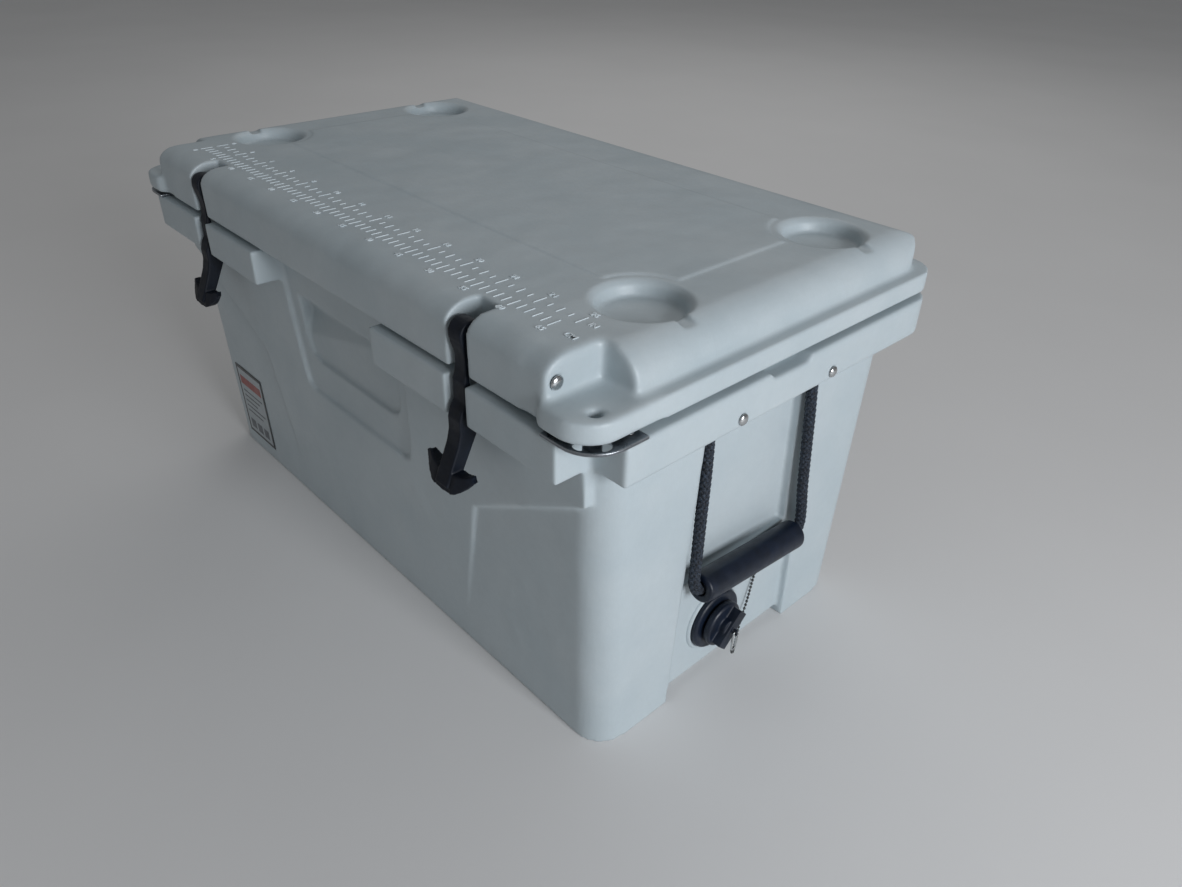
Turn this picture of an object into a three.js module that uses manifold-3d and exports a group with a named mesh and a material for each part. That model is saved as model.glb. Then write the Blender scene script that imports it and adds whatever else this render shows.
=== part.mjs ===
// Hard ice chest: a rotomoulded double-walled tub and lid with rubber latches, rope handles, a drain
// and steel corner plates. Millimetres, +Z up, +X to the right end, the latches on the front at -Y.
import * as THREE from 'three';
import Module from 'manifold-3d';

const wasm = await Module();
wasm.setup();

// ---- driving dimensions -------------------------------------------------------------------------
const GAP = 0.3; // clearance between touching pieces

// tub: half sizes, then heights
const TUB_TOP_HALF_X = 403;
const TUB_BOTTOM_HALF_X = 399;
const TUB_TOP_HALF_Y = 208;
const TUB_BOTTOM_HALF_Y = 198;
const TUB_CORNER_R = 34;
const RIM_HALF_X = 424;
const RIM_HALF_Y = 243;
const RIM_BOTTOM_Z = 339;
const RIM_TOP_Z = 378;
const PANEL_PROUD = 6; // how far the front and back panels stand out at the rim

// chest inside and double wall
const LINER_TOP_HALF_X = 345;
const LINER_TOP_HALF_Y = 163;
const LINER_BOTTOM_HALF_X = 335;
const LINER_BOTTOM_HALF_Y = 153;
const LINER_CORNER_R = 40;
const CHEST_FLOOR_Z = 52;
const SKIN = 5; // plastic wall of the tub and of the lid
const BASE_SKIN = 6; // plastic under the chest and over the rim
const CAVITY_HALF_X = 374;
const CAVITY_HALF_Y = 190;
const FILL_HOLE_R = 12;

// lid
const LID_BOTTOM_Z = 384;
const LID_TOP_Z = 439;
const LID_HALF_X = 406;
const LID_HALF_Y = 238;
const LIP_HALF_X = 421;
const LIP_HALF_Y = 246;
const LIP_TOP_Z = 405;
const LIP_START_X = 356; // the lip begins here along the front and the back
const LID_CORNER_R = 34;
const LID_PAD_DEPTH = 12; // the pad under the lid that drops into the chest
const LID_PAD_CLEARANCE = 6;
const PANEL_RAISE = 1.2;
const PANEL_HALF_X = 328;
const PANEL_FRONT_Y = -99;
const PANEL_BACK_Y = 148;
const PANEL_CUP_R = 54;
const CUP_X = 335;
const CUP_FRONT_Y = -105;
const CUP_BACK_Y = 152;
const CUP_R = 42;
const CUP_DEPTH = 14;
const CUP_GROOVE_WIDTH = 15;
const CUP_GROOVE_DEPTH = 5;
const CORNER_NOTCH_X = 368;
const CORNER_NOTCH_Y = -180;
const PADLOCK_X = 402;
const PADLOCK_Y = -219;
const PADLOCK_R = 6;

// hinge
const HINGE_X = 250;
const HINGE_Y = 249.5;
const HINGE_Z = 384;
const KNUCKLE_R = 8;
const KNUCKLE_LENGTH = 32;
const HINGE_ROD_R = 3;

// latches
const LATCH_X = 256;
const LATCH_WIDTH = 18;
const LATCH_SLOT_WIDTH = 28;
const LATCH_SLOT_DEPTH = 19;
const LATCH_BOLT_Y = -227;
const LATCH_BOLT_Z = 418;
const LATCH_BOLT_R = 4;
const LATCH_NOTCH_BACK_Y = -202;
const T_BAR_HALF = 36;
const PULL_Y = -257;
const PULL_Z = 276;
const PULL_LEAN = 0.33; // how far the pull's arms lean back per millimetre of height

// rope handles
const ROPE_R = 6;
const ROPE_TOP_X = 398;
const ROPE_TOP_Y = 76.5;
const ROPE_AXIS_Z = 332;
const GRIP_X = 408;
const GRIP_Z = 146;
const GRIP_R = 16;
const GRIP_BORE_R = 8;
const GRIP_HALF = 78;
const GRIP_TILT = 5; // degrees the grip hangs down toward the back
const ROPE_SCREW_Y = 66;
const ROPE_SCREW_Z = 348;

// channels and hand pockets in the ends
const CHANNEL_BOTTOM_HALF = 98;
const CHANNEL_TOP_HALF = 82;
const CHANNEL_DEPTH = 12;
const CHANNEL_FOOT_Z = 11;
const POCKET_BOTTOM_Z = 147;
const POCKET_FLOOR_X = 382;
const POCKET_HALF = 82;
const POCKET_TOP_HALF = 72;

// drain
const DRAIN_Y = -28;
const DRAIN_Z = 73;
const FLANGE_R = 35;
const FLANGE_THICK = 8;
const DRAIN_TUBE_R = 16;
const DRAIN_BORE_R = 12.5;
const THREAD_DEPTH = 1.6; // room for the plug's coarse thread, which is not cut
const DRAIN_NUT_R = 24;

// corner plates
const PLATE_THICK = 3;
const PLATE_ARM = 15;
const PLATE_OVERHANG = 1.5;
const PLATE_FRONT_END_X = 368;
const PLATE_SIDE_END_Y = -184;

// label
const LABEL_X = -318;
const LABEL_Z = 80;
const LABEL_WIDTH = 78;
const LABEL_HEIGHT = 112;

// panels and finger recess moulded in the tub's front and back
const PANEL_TOP_X = 385; // the front panel's upper corner, also where the front rim ends
const PANEL_TOP_STEP_Z = 302;
const PANEL_STEP_X = 222;
const PANEL_STEP_Z = 211;
const PANEL_FOOT_X = 186;
const PANEL_FOOT_Z = 42;
const CORNER_SIDE_Y = 206; // the end rim starts this far from the middle
const RECESS_HALF = 121;
const RECESS_FOOT_HALF = 112;
const OUTER_RECESS_Z = 204;
const INNER_RECESS_HALF = 100;
const INNER_RECESS_Z = 249;
const INNER_RECESS_TOP_Z = 326;
const OUTER_RECESS_DEPTH = 5;
const INNER_RECESS_DEPTH = 10;
const FINGER_NOTCH_HALF = 30;
const FINGER_NOTCH_DEPTH = 6;

// lid cavity and gasket
const LID_CAVITY_TOP_Z = LID_TOP_Z - CUP_DEPTH - SKIN;
const PAD_BOTTOM_Z = LID_BOTTOM_Z - LID_PAD_DEPTH;
const GASKET_IN = 14; // gasket line, outside the chest opening
const GASKET_WIDTH = 8;
const GASKET_GROOVE = 4;

// drain plug, its link and chain
const FLANGE_FACE_X = TUB_TOP_HALF_X - CHANNEL_DEPTH + GAP + FLANGE_THICK;
const DRAIN_GASKET_THICK = 2;
const NUT_THICK = 8;
const WASHER_THICK = 2;
const CAP_R = 26;
const CAP_THICK = 8;
const WING_DEPTH = 12;
const WING_LENGTH = 44;
const WING_WIDTH = 14;
const PLUG_STEM_R = DRAIN_BORE_R - THREAD_DEPTH - GAP;
const WIRE = 1.6;
const LINK_HALF_WIDTH = 4.2;
const LINK_X = FLANGE_FACE_X + 2 * GAP + DRAIN_GASKET_THICK + CAP_THICK + WING_DEPTH + 2;
const LINK_LENGTH = 26;
const CHAIN_R = 1.6;
const CHAIN_TOP_Z = DRAIN_Z - LINK_LENGTH + WIRE / 2 - 2 * GAP;
const CHAIN_ANCHOR_Y = 38;
const CHAIN_ANCHOR_Z = 120;
const PLUG_STEM_LENGTH = 12; // the stem ends at the back of the flange

// screws
const ROPE_SCREW_R = 2.5;
const PLATE_SCREW_R = 1.6;
const CHAIN_SCREW_R = 1.8;

// ---- small helpers ------------------------------------------------------------------------------
const group = new THREE.Group();
const X_AXIS = new THREE.Vector3(1, 0, 0);
const Y_AXIS = new THREE.Vector3(0, 1, 0);
const Z_AXIS = new THREE.Vector3(0, 0, 1);

// three.js geometry to a manifold solid, with coincident vertices merged
function solid(geometry) {
  const flat = geometry.index ? geometry.toNonIndexed() : geometry;
  const position = flat.getAttribute('position');
  const seen = new Map();
  const vertices = [];
  const triangles = [];
  for (let i = 0; i < position.count; i++) {
    const x = position.getX(i);
    const y = position.getY(i);
    const z = position.getZ(i);
    const key = `${Math.round(x * 1e4)},${Math.round(y * 1e4)},${Math.round(z * 1e4)}`;
    if (!seen.has(key)) {
      seen.set(key, vertices.length / 3);
      vertices.push(x, y, z);
    }
    triangles.push(seen.get(key));
  }
  const kept = [];
  for (let i = 0; i < triangles.length; i += 3) {
    const [a, b, c] = triangles.slice(i, i + 3);
    if (a !== b && b !== c && a !== c) {
      kept.push(a, b, c);
    }
  }
  const mesh = new wasm.Mesh({
    numProp: 3,
    vertProperties: new Float32Array(vertices),
    triVerts: new Uint32Array(kept),
  });
  return new wasm.Manifold(mesh);
}

function toGeometry(shape) {
  const mesh = shape.getMesh();
  const geometry = new THREE.BufferGeometry();
  geometry.setAttribute('position', new THREE.BufferAttribute(new Float32Array(mesh.vertProperties), 3));
  geometry.setIndex(new THREE.BufferAttribute(new Uint32Array(mesh.triVerts), 1));
  geometry.computeVertexNormals();
  return geometry;
}

function cut(shape, tools) {
  return tools.reduce((result, tool) => result.subtract(tool), shape);
}

function join(shapes) {
  return shapes.reduce((result, shape) => result.add(shape));
}

function box(x0, x1, y0, y1, z0, z1) {
  const geometry = new THREE.BoxGeometry(x1 - x0, y1 - y0, z1 - z0);
  geometry.translate((x0 + x1) / 2, (y0 + y1) / 2, (z0 + z1) / 2);
  return solid(geometry);
}

// cylinder from its middle point, along a unit axis
function cylinder(x, y, z, radius, length, axis, segments = 32) {
  const geometry = new THREE.CylinderGeometry(radius, radius, length, segments);
  const turn = new THREE.Quaternion().setFromUnitVectors(Y_AXIS, axis);
  geometry.applyQuaternion(turn);
  geometry.translate(x, y, z);
  return solid(geometry);
}

// turned piece: profile of [radius, height] points closed on its axis, standing on a point
function turned(profile, x, y, z, axis, segments = 32) {
  const points = profile.map(([radius, height]) => new THREE.Vector2(radius, height));
  const geometry = new THREE.LatheGeometry(points, segments);
  const turn = new THREE.Quaternion().setFromUnitVectors(Y_AXIS, axis);
  geometry.applyQuaternion(turn);
  geometry.translate(x, y, z);
  return solid(geometry);
}

function roundedRectangle(halfX, halfY, radius) {
  const shape = new THREE.Shape();
  shape.moveTo(halfX - radius, -halfY);
  shape.absarc(halfX - radius, -halfY + radius, radius, -Math.PI / 2, 0);
  shape.absarc(halfX - radius, halfY - radius, radius, 0, Math.PI / 2);
  shape.absarc(-halfX + radius, halfY - radius, radius, Math.PI / 2, Math.PI);
  shape.absarc(-halfX + radius, -halfY + radius, radius, Math.PI, Math.PI * 1.5);
  shape.closePath();
  return shape;
}

function polygon(points) {
  return new THREE.Shape(points.map(([u, v]) => new THREE.Vector2(u, v)));
}

// upright prism of a plan outline
function prismZ(shape, z0, z1, curveSegments = 6) {
  const geometry = new THREE.ExtrudeGeometry(shape, { depth: z1 - z0, bevelEnabled: false, curveSegments });
  geometry.translate(0, 0, z0);
  return geometry;
}

// prism of a [y, z] outline running along X
function prismX(shape, x0, x1, curveSegments = 6) {
  const geometry = new THREE.ExtrudeGeometry(shape, { depth: x1 - x0, bevelEnabled: false, curveSegments });
  geometry.applyMatrix4(new THREE.Matrix4().makeBasis(Y_AXIS, Z_AXIS, X_AXIS));
  geometry.translate(x0, 0, 0);
  return geometry;
}

// prism of an [x, z] outline running along Y
function prismY(shape, y0, y1, curveSegments = 6) {
  const geometry = new THREE.ExtrudeGeometry(shape, { depth: y1 - y0, bevelEnabled: false, curveSegments });
  geometry.rotateX(Math.PI / 2);
  geometry.translate(0, y1, 0);
  return geometry;
}

// upright rounded box whose plan grows from its bottom half sizes to its top half sizes
function draftedBox(bottomX, bottomY, topX, topY, radius, z0, z1) {
  const geometry = prismZ(roundedRectangle(bottomX, bottomY, radius), z0, z1);
  const position = geometry.getAttribute('position');
  for (let i = 0; i < position.count; i++) {
    if (position.getZ(i) > (z0 + z1) / 2) {
      const x = position.getX(i);
      const y = position.getY(i);
      position.setX(i, x + Math.sign(x) * (topX - bottomX));
      position.setY(i, y + Math.sign(y) * (topY - bottomY));
    }
  }
  return solid(geometry);
}

function mirrorX(shape) {
  return shape.mirror([1, 0, 0]);
}

function mirrorY(shape) {
  return shape.mirror([0, 1, 0]);
}

const white = new THREE.MeshStandardMaterial({ color: 0xb9c4cc, roughness: 0.55, metalness: 0 });
const foam = new THREE.MeshStandardMaterial({ color: 0xe8dcae, roughness: 0.9, metalness: 0 });
const rubber = new THREE.MeshStandardMaterial({ color: 0x16191d, roughness: 0.7, metalness: 0 });
const blackPlastic = new THREE.MeshStandardMaterial({ color: 0x15181c, roughness: 0.45, metalness: 0 });
const cord = new THREE.MeshStandardMaterial({ color: 0x14161a, roughness: 0.85, metalness: 0 });
const steel = new THREE.MeshStandardMaterial({ color: 0x8b9096, roughness: 0.3, metalness: 1 });
const sealRubber = new THREE.MeshStandardMaterial({ color: 0x2a2d30, roughness: 0.8, metalness: 0 });
const paper = new THREE.MeshStandardMaterial({ color: 0xcfd3d6, roughness: 0.5, metalness: 0 });

function addPart(name, shape, material) {
  const mesh = new THREE.Mesh(toGeometry(shape), material);
  mesh.name = name;
  group.add(mesh);
}

// half width of the tub's recessed front face at a height
function tubHalfY(z) {
  return TUB_BOTTOM_HALF_Y + ((TUB_TOP_HALF_Y - TUB_BOTTOM_HALF_Y) * z) / RIM_TOP_Z;
}

// ---- tub ----------------------------------------------------------------------------------------

// prism of an [x, z] outline from the plane y = backY out to a front that leans with height
function leaningPrism(outline, backY, frontAt) {
  const geometry = prismY(outline, backY - 40, backY);
  const position = geometry.getAttribute('position');
  for (let i = 0; i < position.count; i++) {
    if (position.getY(i) < backY - 20) {
      position.setY(i, frontAt(position.getZ(i)));
    }
  }
  return solid(geometry);
}

// face of the panel that stands proud of the tub's front, fading out toward the floor
function proudFaceY(z) {
  const share = Math.min(1, Math.max(0, (z - PANEL_FOOT_Z) / (RIM_BOTTOM_Z - PANEL_FOOT_Z)));
  return -tubHalfY(z) - PANEL_PROUD * share;
}

function proudPanel() {
  const outline = polygon([
    [-PANEL_FOOT_X, PANEL_FOOT_Z],
    [PANEL_FOOT_X, PANEL_FOOT_Z],
    [PANEL_STEP_X, PANEL_STEP_Z],
    [PANEL_TOP_X, PANEL_TOP_STEP_Z],
    [PANEL_TOP_X, RIM_TOP_Z],
    [-PANEL_TOP_X, RIM_TOP_Z],
    [-PANEL_TOP_X, PANEL_TOP_STEP_Z],
    [-PANEL_STEP_X, PANEL_STEP_Z],
  ]);
  return leaningPrism(outline, -LINER_TOP_HALF_Y - SKIN, proudFaceY);
}

// nested recesses in the middle of the front, the outer one open through the rim
function frontRecess() {
  const outer = polygon([
    [-RECESS_FOOT_HALF + 16, OUTER_RECESS_Z],
    [RECESS_FOOT_HALF - 16, OUTER_RECESS_Z],
    [RECESS_FOOT_HALF - 4, OUTER_RECESS_Z + 6],
    [RECESS_FOOT_HALF, OUTER_RECESS_Z + 18],
    [RECESS_HALF, RIM_BOTTOM_Z],
    [RECESS_HALF, RIM_TOP_Z + 1],
    [-RECESS_HALF, RIM_TOP_Z + 1],
    [-RECESS_HALF, RIM_BOTTOM_Z],
    [-RECESS_FOOT_HALF, OUTER_RECESS_Z + 18],
    [-RECESS_FOOT_HALF + 4, OUTER_RECESS_Z + 6],
  ]);
  const inner = polygon([
    [-INNER_RECESS_HALF + 25, INNER_RECESS_Z],
    [INNER_RECESS_HALF - 25, INNER_RECESS_Z],
    [INNER_RECESS_HALF - 10, INNER_RECESS_Z + 6],
    [INNER_RECESS_HALF - 4, INNER_RECESS_Z + 18],
    [INNER_RECESS_HALF, INNER_RECESS_TOP_Z],
    [-INNER_RECESS_HALF, INNER_RECESS_TOP_Z],
    [-INNER_RECESS_HALF + 4, INNER_RECESS_Z + 18],
    [-INNER_RECESS_HALF + 10, INNER_RECESS_Z + 6],
  ]);
  const cuts = [
    [outer, OUTER_RECESS_DEPTH],
    [inner, INNER_RECESS_DEPTH],
  ];
  return cuts.map(([outline, depth]) => {
    const air = box(-RIM_HALF_X, RIM_HALF_X, -RIM_HALF_Y - 1, -CAVITY_HALF_Y, 0, RIM_TOP_Z + 2);
    const kept = leaningPrism(outline, -LINER_TOP_HALF_Y, (z) => proudFaceY(z) + depth);
    return solid(prismY(outline, -RIM_HALF_Y - 1, -CAVITY_HALF_Y)).intersect(air).subtract(kept);
  });
}

// sloped-sided cut into an end: outline half widths at two heights, narrowing toward its floor
function endCut(bottomHalf, topHalf, z0, z1, floorX, slope) {
  const outline = polygon([
    [-bottomHalf, z0],
    [bottomHalf, z0],
    [topHalf, z1],
    [-topHalf, z1],
  ]);
  const geometry = prismX(outline, floorX, RIM_HALF_X + 10);
  const position = geometry.getAttribute('position');
  const mouth = RIM_HALF_X + 10;
  for (let i = 0; i < position.count; i++) {
    const y = position.getY(i);
    if (position.getX(i) > mouth - 1) {
      position.setY(i, y + Math.sign(y) * slope * (mouth - floorX));
    }
  }
  return solid(geometry);
}

// the space between the tub's outer skin and its liner, all of it filled with foam
function tubCavity(clearance) {
  const outline = roundedRectangle(CAVITY_HALF_X - clearance, CAVITY_HALF_Y - clearance, TUB_CORNER_R);
  const outer = solid(prismZ(outline, BASE_SKIN + clearance, RIM_TOP_Z - BASE_SKIN - clearance));
  const wall = SKIN + clearance;
  const liner = draftedBox(
    LINER_BOTTOM_HALF_X + wall,
    LINER_BOTTOM_HALF_Y + wall,
    LINER_TOP_HALF_X + wall,
    LINER_TOP_HALF_Y + wall,
    LINER_CORNER_R + wall,
    CHEST_FLOOR_Z - wall,
    RIM_TOP_Z,
  );
  const sleeve = cylinder(CAVITY_HALF_X - 10, DRAIN_Y, DRAIN_Z, DRAIN_NUT_R + SKIN + clearance, 90, X_AXIS);
  return cut(outer, [liner, sleeve]);
}

function buildTub() {
  const tub = draftedBox(
    TUB_BOTTOM_HALF_X,
    TUB_BOTTOM_HALF_Y,
    TUB_TOP_HALF_X,
    TUB_TOP_HALF_Y,
    TUB_CORNER_R,
    0,
    RIM_TOP_Z,
  );
  const chest = draftedBox(
    LINER_BOTTOM_HALF_X,
    LINER_BOTTOM_HALF_Y,
    LINER_TOP_HALF_X,
    LINER_TOP_HALF_Y,
    LINER_CORNER_R,
    CHEST_FLOOR_Z,
    RIM_TOP_Z + 1,
  );
  const fillHole = cylinder(0, 0, 4, FILL_HOLE_R, 12, Z_AXIS);
  const band = prismZ(roundedRectangle(RIM_HALF_X, RIM_HALF_Y, TUB_CORNER_R), RIM_BOTTOM_Z, RIM_TOP_Z);
  const bare = cut(solid(band), [
    cornerCut(),
    mirrorX(cornerCut()),
    latchSlot(LATCH_X),
    latchSlot(-LATCH_X),
  ]);
  const panel = proudPanel();
  const outside = join([tub, panel, mirrorY(panel), bare, ...hingeKnuckles([-1, 1], false)]);
  const channel = endCut(CHANNEL_BOTTOM_HALF, CHANNEL_TOP_HALF, -1, RIM_BOTTOM_Z, channelFloorX(), 0.12);
  const footX = CAVITY_HALF_X + SKIN;
  const underChannel = box(footX, RIM_HALF_X, -CHANNEL_BOTTOM_HALF, CHANNEL_BOTTOM_HALF, -1, CHANNEL_FOOT_Z);
  const pocket = endCut(POCKET_HALF, POCKET_TOP_HALF, POCKET_BOTTOM_Z, RIM_BOTTOM_Z, POCKET_FLOOR_X, 0.1);
  const ropePocket = box(
    ROPE_TOP_X - ROPE_R - 1,
    ROPE_TOP_X + ROPE_R + 1,
    ROPE_SCREW_Y - 9,
    ROPE_TOP_Y + ROPE_R + 1,
    RIM_BOTTOM_Z - 1,
    ROPE_SCREW_Z + 8,
  );
  const screwHoleR = ROPE_SCREW_R + GAP;
  const screwHole = cylinder(RIM_HALF_X - 14, ROPE_SCREW_Y, ROPE_SCREW_Z, screwHoleR, 52, X_AXIS, 16);
  const fingerNotch = solid(
    prismX(
      polygon([
        [-FINGER_NOTCH_HALF + FINGER_NOTCH_DEPTH, RIM_TOP_Z - FINGER_NOTCH_DEPTH],
        [FINGER_NOTCH_HALF - FINGER_NOTCH_DEPTH, RIM_TOP_Z - FINGER_NOTCH_DEPTH],
        [FINGER_NOTCH_HALF, RIM_TOP_Z + 1],
        [-FINGER_NOTCH_HALF, RIM_TOP_Z + 1],
      ]),
      RIM_HALF_X - 22,
      RIM_HALF_X + 1,
    ),
  );
  const endCuts = [
    channel,
    underChannel,
    pocket,
    ropePocket,
    mirrorY(ropePocket),
    screwHole,
    mirrorY(screwHole),
    fingerNotch,
  ];
  const drainHole = cylinder(LINER_TOP_HALF_X + 25, DRAIN_Y, DRAIN_Z, DRAIN_TUBE_R + GAP, 120, X_AXIS);
  const chainHoleX = channelFloorX() - 5;
  const chainHoleR = CHAIN_SCREW_R + GAP;
  const chainHole = cylinder(chainHoleX, CHAIN_ANCHOR_Y, CHAIN_ANCHOR_Z, chainHoleR, 14, X_AXIS, 12);
  const nutSeat = cylinder(drainSeatX() - 20, DRAIN_Y, DRAIN_Z, DRAIN_NUT_R + 3, 40, X_AXIS);
  const plateHoles = plateScrewPlaces().map(([x, y]) =>
    cylinder(x, y, RIM_TOP_Z - 6, PLATE_SCREW_R + GAP, 22, Z_AXIS, 16),
  );
  return cut(outside, [
    tubCavity(0),
    chest,
    fillHole,
    ...frontRecess(),
    ...endCuts,
    ...endCuts.map(mirrorX),
    drainHole,
    nutSeat,
    chainHole,
    ...plateHoles,
    ...plateHoles.map(mirrorX),
    hingeRodHole(),
    mirrorX(hingeRodHole()),
  ]);
}

function channelFloorX() {
  return TUB_TOP_HALF_X - CHANNEL_DEPTH;
}

// flat seat of the drain's inner washer, just inside the drafted liner wall
function drainSeatX() {
  return LINER_BOTTOM_HALF_X + SKIN - 2;
}

// the rim is left out round the front corners, behind the corner plates
function cornerCut() {
  return box(PANEL_TOP_X, RIM_HALF_X + 1, -RIM_HALF_Y - 1, -CORNER_SIDE_Y, RIM_BOTTOM_Z - 1, RIM_TOP_Z + 1);
}

function latchSlot(x) {
  const half = LATCH_SLOT_WIDTH / 2;
  const backY = -RIM_HALF_Y + LATCH_SLOT_DEPTH;
  return box(x - half, x + half, -RIM_HALF_Y - 1, backY, RIM_BOTTOM_Z - 1, RIM_TOP_Z + 1);
}

// ---- hinge --------------------------------------------------------------------------------------
// knuckles at both hinges; places count in knuckle lengths from the hinge's middle
function hingeKnuckles(places, onLid) {
  const shapes = [];
  for (const side of [-1, 1]) {
    for (const place of places) {
      const x = side * HINGE_X + place * (KNUCKLE_LENGTH + GAP);
      const half = KNUCKLE_LENGTH / 2;
      shapes.push(cylinder(x, HINGE_Y, HINGE_Z, KNUCKLE_R, KNUCKLE_LENGTH, X_AXIS, 24));
      if (onLid) {
        shapes.push(box(x - half, x + half, LID_HALF_Y - 4, HINGE_Y, HINGE_Z, HINGE_Z + KNUCKLE_R - 1));
      } else {
        const footZ = HINGE_Z - KNUCKLE_R - 14;
        shapes.push(box(x - half, x + half, RIM_HALF_Y - 8, HINGE_Y + 3, footZ, RIM_TOP_Z));
      }
    }
  }
  return shapes;
}

function hingeRodHole() {
  return cylinder(HINGE_X, HINGE_Y, HINGE_Z, HINGE_ROD_R + GAP, KNUCKLE_LENGTH * 3 + 4, X_AXIS, 20);
}

// ---- lid ----------------------------------------------------------------------------------------
// lid section between two half widths, its top edges rounded by a quarter ellipse
function lidSection(half, roundIn, roundDown) {
  const shape = new THREE.Shape();
  shape.moveTo(-half, LID_BOTTOM_Z);
  shape.lineTo(half, LID_BOTTOM_Z);
  shape.lineTo(half, LID_TOP_Z - roundDown);
  shape.absellipse(half - roundIn, LID_TOP_Z - roundDown, roundIn, roundDown, 0, Math.PI / 2);
  shape.absellipse(-half + roundIn, LID_TOP_Z - roundDown, roundIn, roundDown, Math.PI / 2, Math.PI);
  shape.closePath();
  return shape;
}

function lidLip() {
  const slab = solid(prismZ(roundedRectangle(LIP_HALF_X, LIP_HALF_Y, LID_CORNER_R), LID_BOTTOM_Z, LIP_TOP_Z));
  const trim = solid(
    prismZ(
      polygon([
        [-LIP_START_X - 12, -LIP_HALF_Y - 1],
        [LIP_START_X + 12, -LIP_HALF_Y - 1],
        [LIP_START_X, -LID_HALF_Y + 1],
        [-LIP_START_X, -LID_HALF_Y + 1],
      ]),
      LID_BOTTOM_Z - 1,
      LIP_TOP_Z + 1,
    ),
  );
  return cut(slab, [trim, mirrorY(trim)]);
}

function raisedPanel() {
  const topZ = LID_TOP_Z + PANEL_RAISE;
  const slab = box(-PANEL_HALF_X, PANEL_HALF_X, PANEL_FRONT_Y, PANEL_BACK_Y, LID_TOP_Z - 3, topZ);
  return cut(slab, cupPlaces().map(([x, y]) => cylinder(x, y, LID_TOP_Z + 5, PANEL_CUP_R, 10, Z_AXIS, 48)));
}

function cupPlaces() {
  return [
    [CUP_X, CUP_FRONT_Y],
    [-CUP_X, CUP_FRONT_Y],
    [CUP_X, CUP_BACK_Y],
    [-CUP_X, CUP_BACK_Y],
  ];
}

function cupCut(x, y) {
  const floor = LID_TOP_Z - CUP_DEPTH;
  const cup = turned(
    [
      [0, 0],
      [CUP_R - 5, 0],
      [CUP_R - 2, CUP_DEPTH - 4],
      [CUP_R + 3, CUP_DEPTH],
      [CUP_R + 3, CUP_DEPTH + 3],
      [0, CUP_DEPTH + 3],
    ],
    x,
    y,
    floor,
    Z_AXIS,
    40,
  );
  const side = Math.sign(x);
  const nearX = side * CUP_X;
  const farX = side * (LID_HALF_X + 1);
  const half = CUP_GROOVE_WIDTH / 2;
  const groove = box(
    Math.min(nearX, farX),
    Math.max(nearX, farX),
    y - half,
    y + half,
    LID_TOP_Z - CUP_GROOVE_DEPTH,
    LID_TOP_Z + 3,
  );
  return [cup, groove];
}

function lidPad(shrink) {
  const halfX = LINER_TOP_HALF_X - LID_PAD_CLEARANCE - shrink;
  const halfY = LINER_TOP_HALF_Y - LID_PAD_CLEARANCE - shrink;
  return roundedRectangle(halfX, halfY, LINER_CORNER_R - LID_PAD_CLEARANCE - shrink);
}

function gasketRing(clearance, z0, z1) {
  const halfX = LINER_TOP_HALF_X + GASKET_IN;
  const halfY = LINER_TOP_HALF_Y + GASKET_IN;
  const outerHalf = GASKET_WIDTH / 2 + clearance;
  const radius = LINER_CORNER_R + GASKET_IN;
  const outer = roundedRectangle(halfX + outerHalf, halfY + outerHalf, radius + outerHalf);
  const inner = roundedRectangle(halfX - outerHalf, halfY - outerHalf, radius - outerHalf);
  outer.holes.push(inner);
  return solid(prismZ(outer, z0, z1));
}

function buildLid() {
  const slab = solid(prismX(lidSection(LID_HALF_Y, 26, 17), -LIP_HALF_X, LIP_HALF_X))
    .intersect(solid(prismY(lidSection(LID_HALF_X, 32, 30), -LIP_HALF_Y, LIP_HALF_Y)))
    .intersect(solid(prismZ(roundedRectangle(LID_HALF_X, LID_HALF_Y, LID_CORNER_R), LID_BOTTOM_Z, LID_TOP_Z)));
  const pad = solid(prismZ(lidPad(0), PAD_BOTTOM_Z, LID_BOTTOM_Z + 1));
  const body = join([slab, lidLip(), raisedPanel(), pad, ...hingeKnuckles([0], true)]);
  const notchFrontY = -LIP_HALF_Y - 1;
  const notchTopZ = LID_TOP_Z + 5;
  const cornerNotch = box(CORNER_NOTCH_X, LIP_HALF_X + 1, notchFrontY, CORNER_NOTCH_Y, LIP_TOP_Z, notchTopZ);
  const padlockHole = cylinder(PADLOCK_X, PADLOCK_Y, LIP_TOP_Z - 10, PADLOCK_R, 40, Z_AXIS, 24);
  const half = LATCH_SLOT_WIDTH / 2;
  const latchNotch = box(
    LATCH_X - half,
    LATCH_X + half,
    -LIP_HALF_Y - 1,
    LATCH_NOTCH_BACK_Y,
    LID_BOTTOM_Z - 1,
    LID_TOP_Z + 5,
  );
  const boltHole = cylinder(
    (CORNER_NOTCH_X + LATCH_X) / 2,
    LATCH_BOLT_Y,
    LATCH_BOLT_Z,
    LATCH_BOLT_R + GAP,
    CORNER_NOTCH_X - LATCH_X + 54,
    X_AXIS,
    20,
  );
  const cavity = solid(prismZ(lidPad(SKIN), PAD_BOTTOM_Z + SKIN, LID_CAVITY_TOP_Z));
  const fillHole = cylinder(0, 0, PAD_BOTTOM_Z, FILL_HOLE_R, 16, Z_AXIS);
  const sideCuts = [cornerNotch, padlockHole, latchNotch, boltHole];
  return cut(body, [
    ...cupPlaces().flatMap(([x, y]) => cupCut(x, y)),
    ...sideCuts,
    ...sideCuts.map(mirrorX),
    cavity,
    fillHole,
    gasketRing(GAP, LID_BOTTOM_Z - 1, LID_BOTTOM_Z + GASKET_GROOVE),
    hingeRodHole(),
    mirrorX(hingeRodHole()),
  ]);
}

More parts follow.
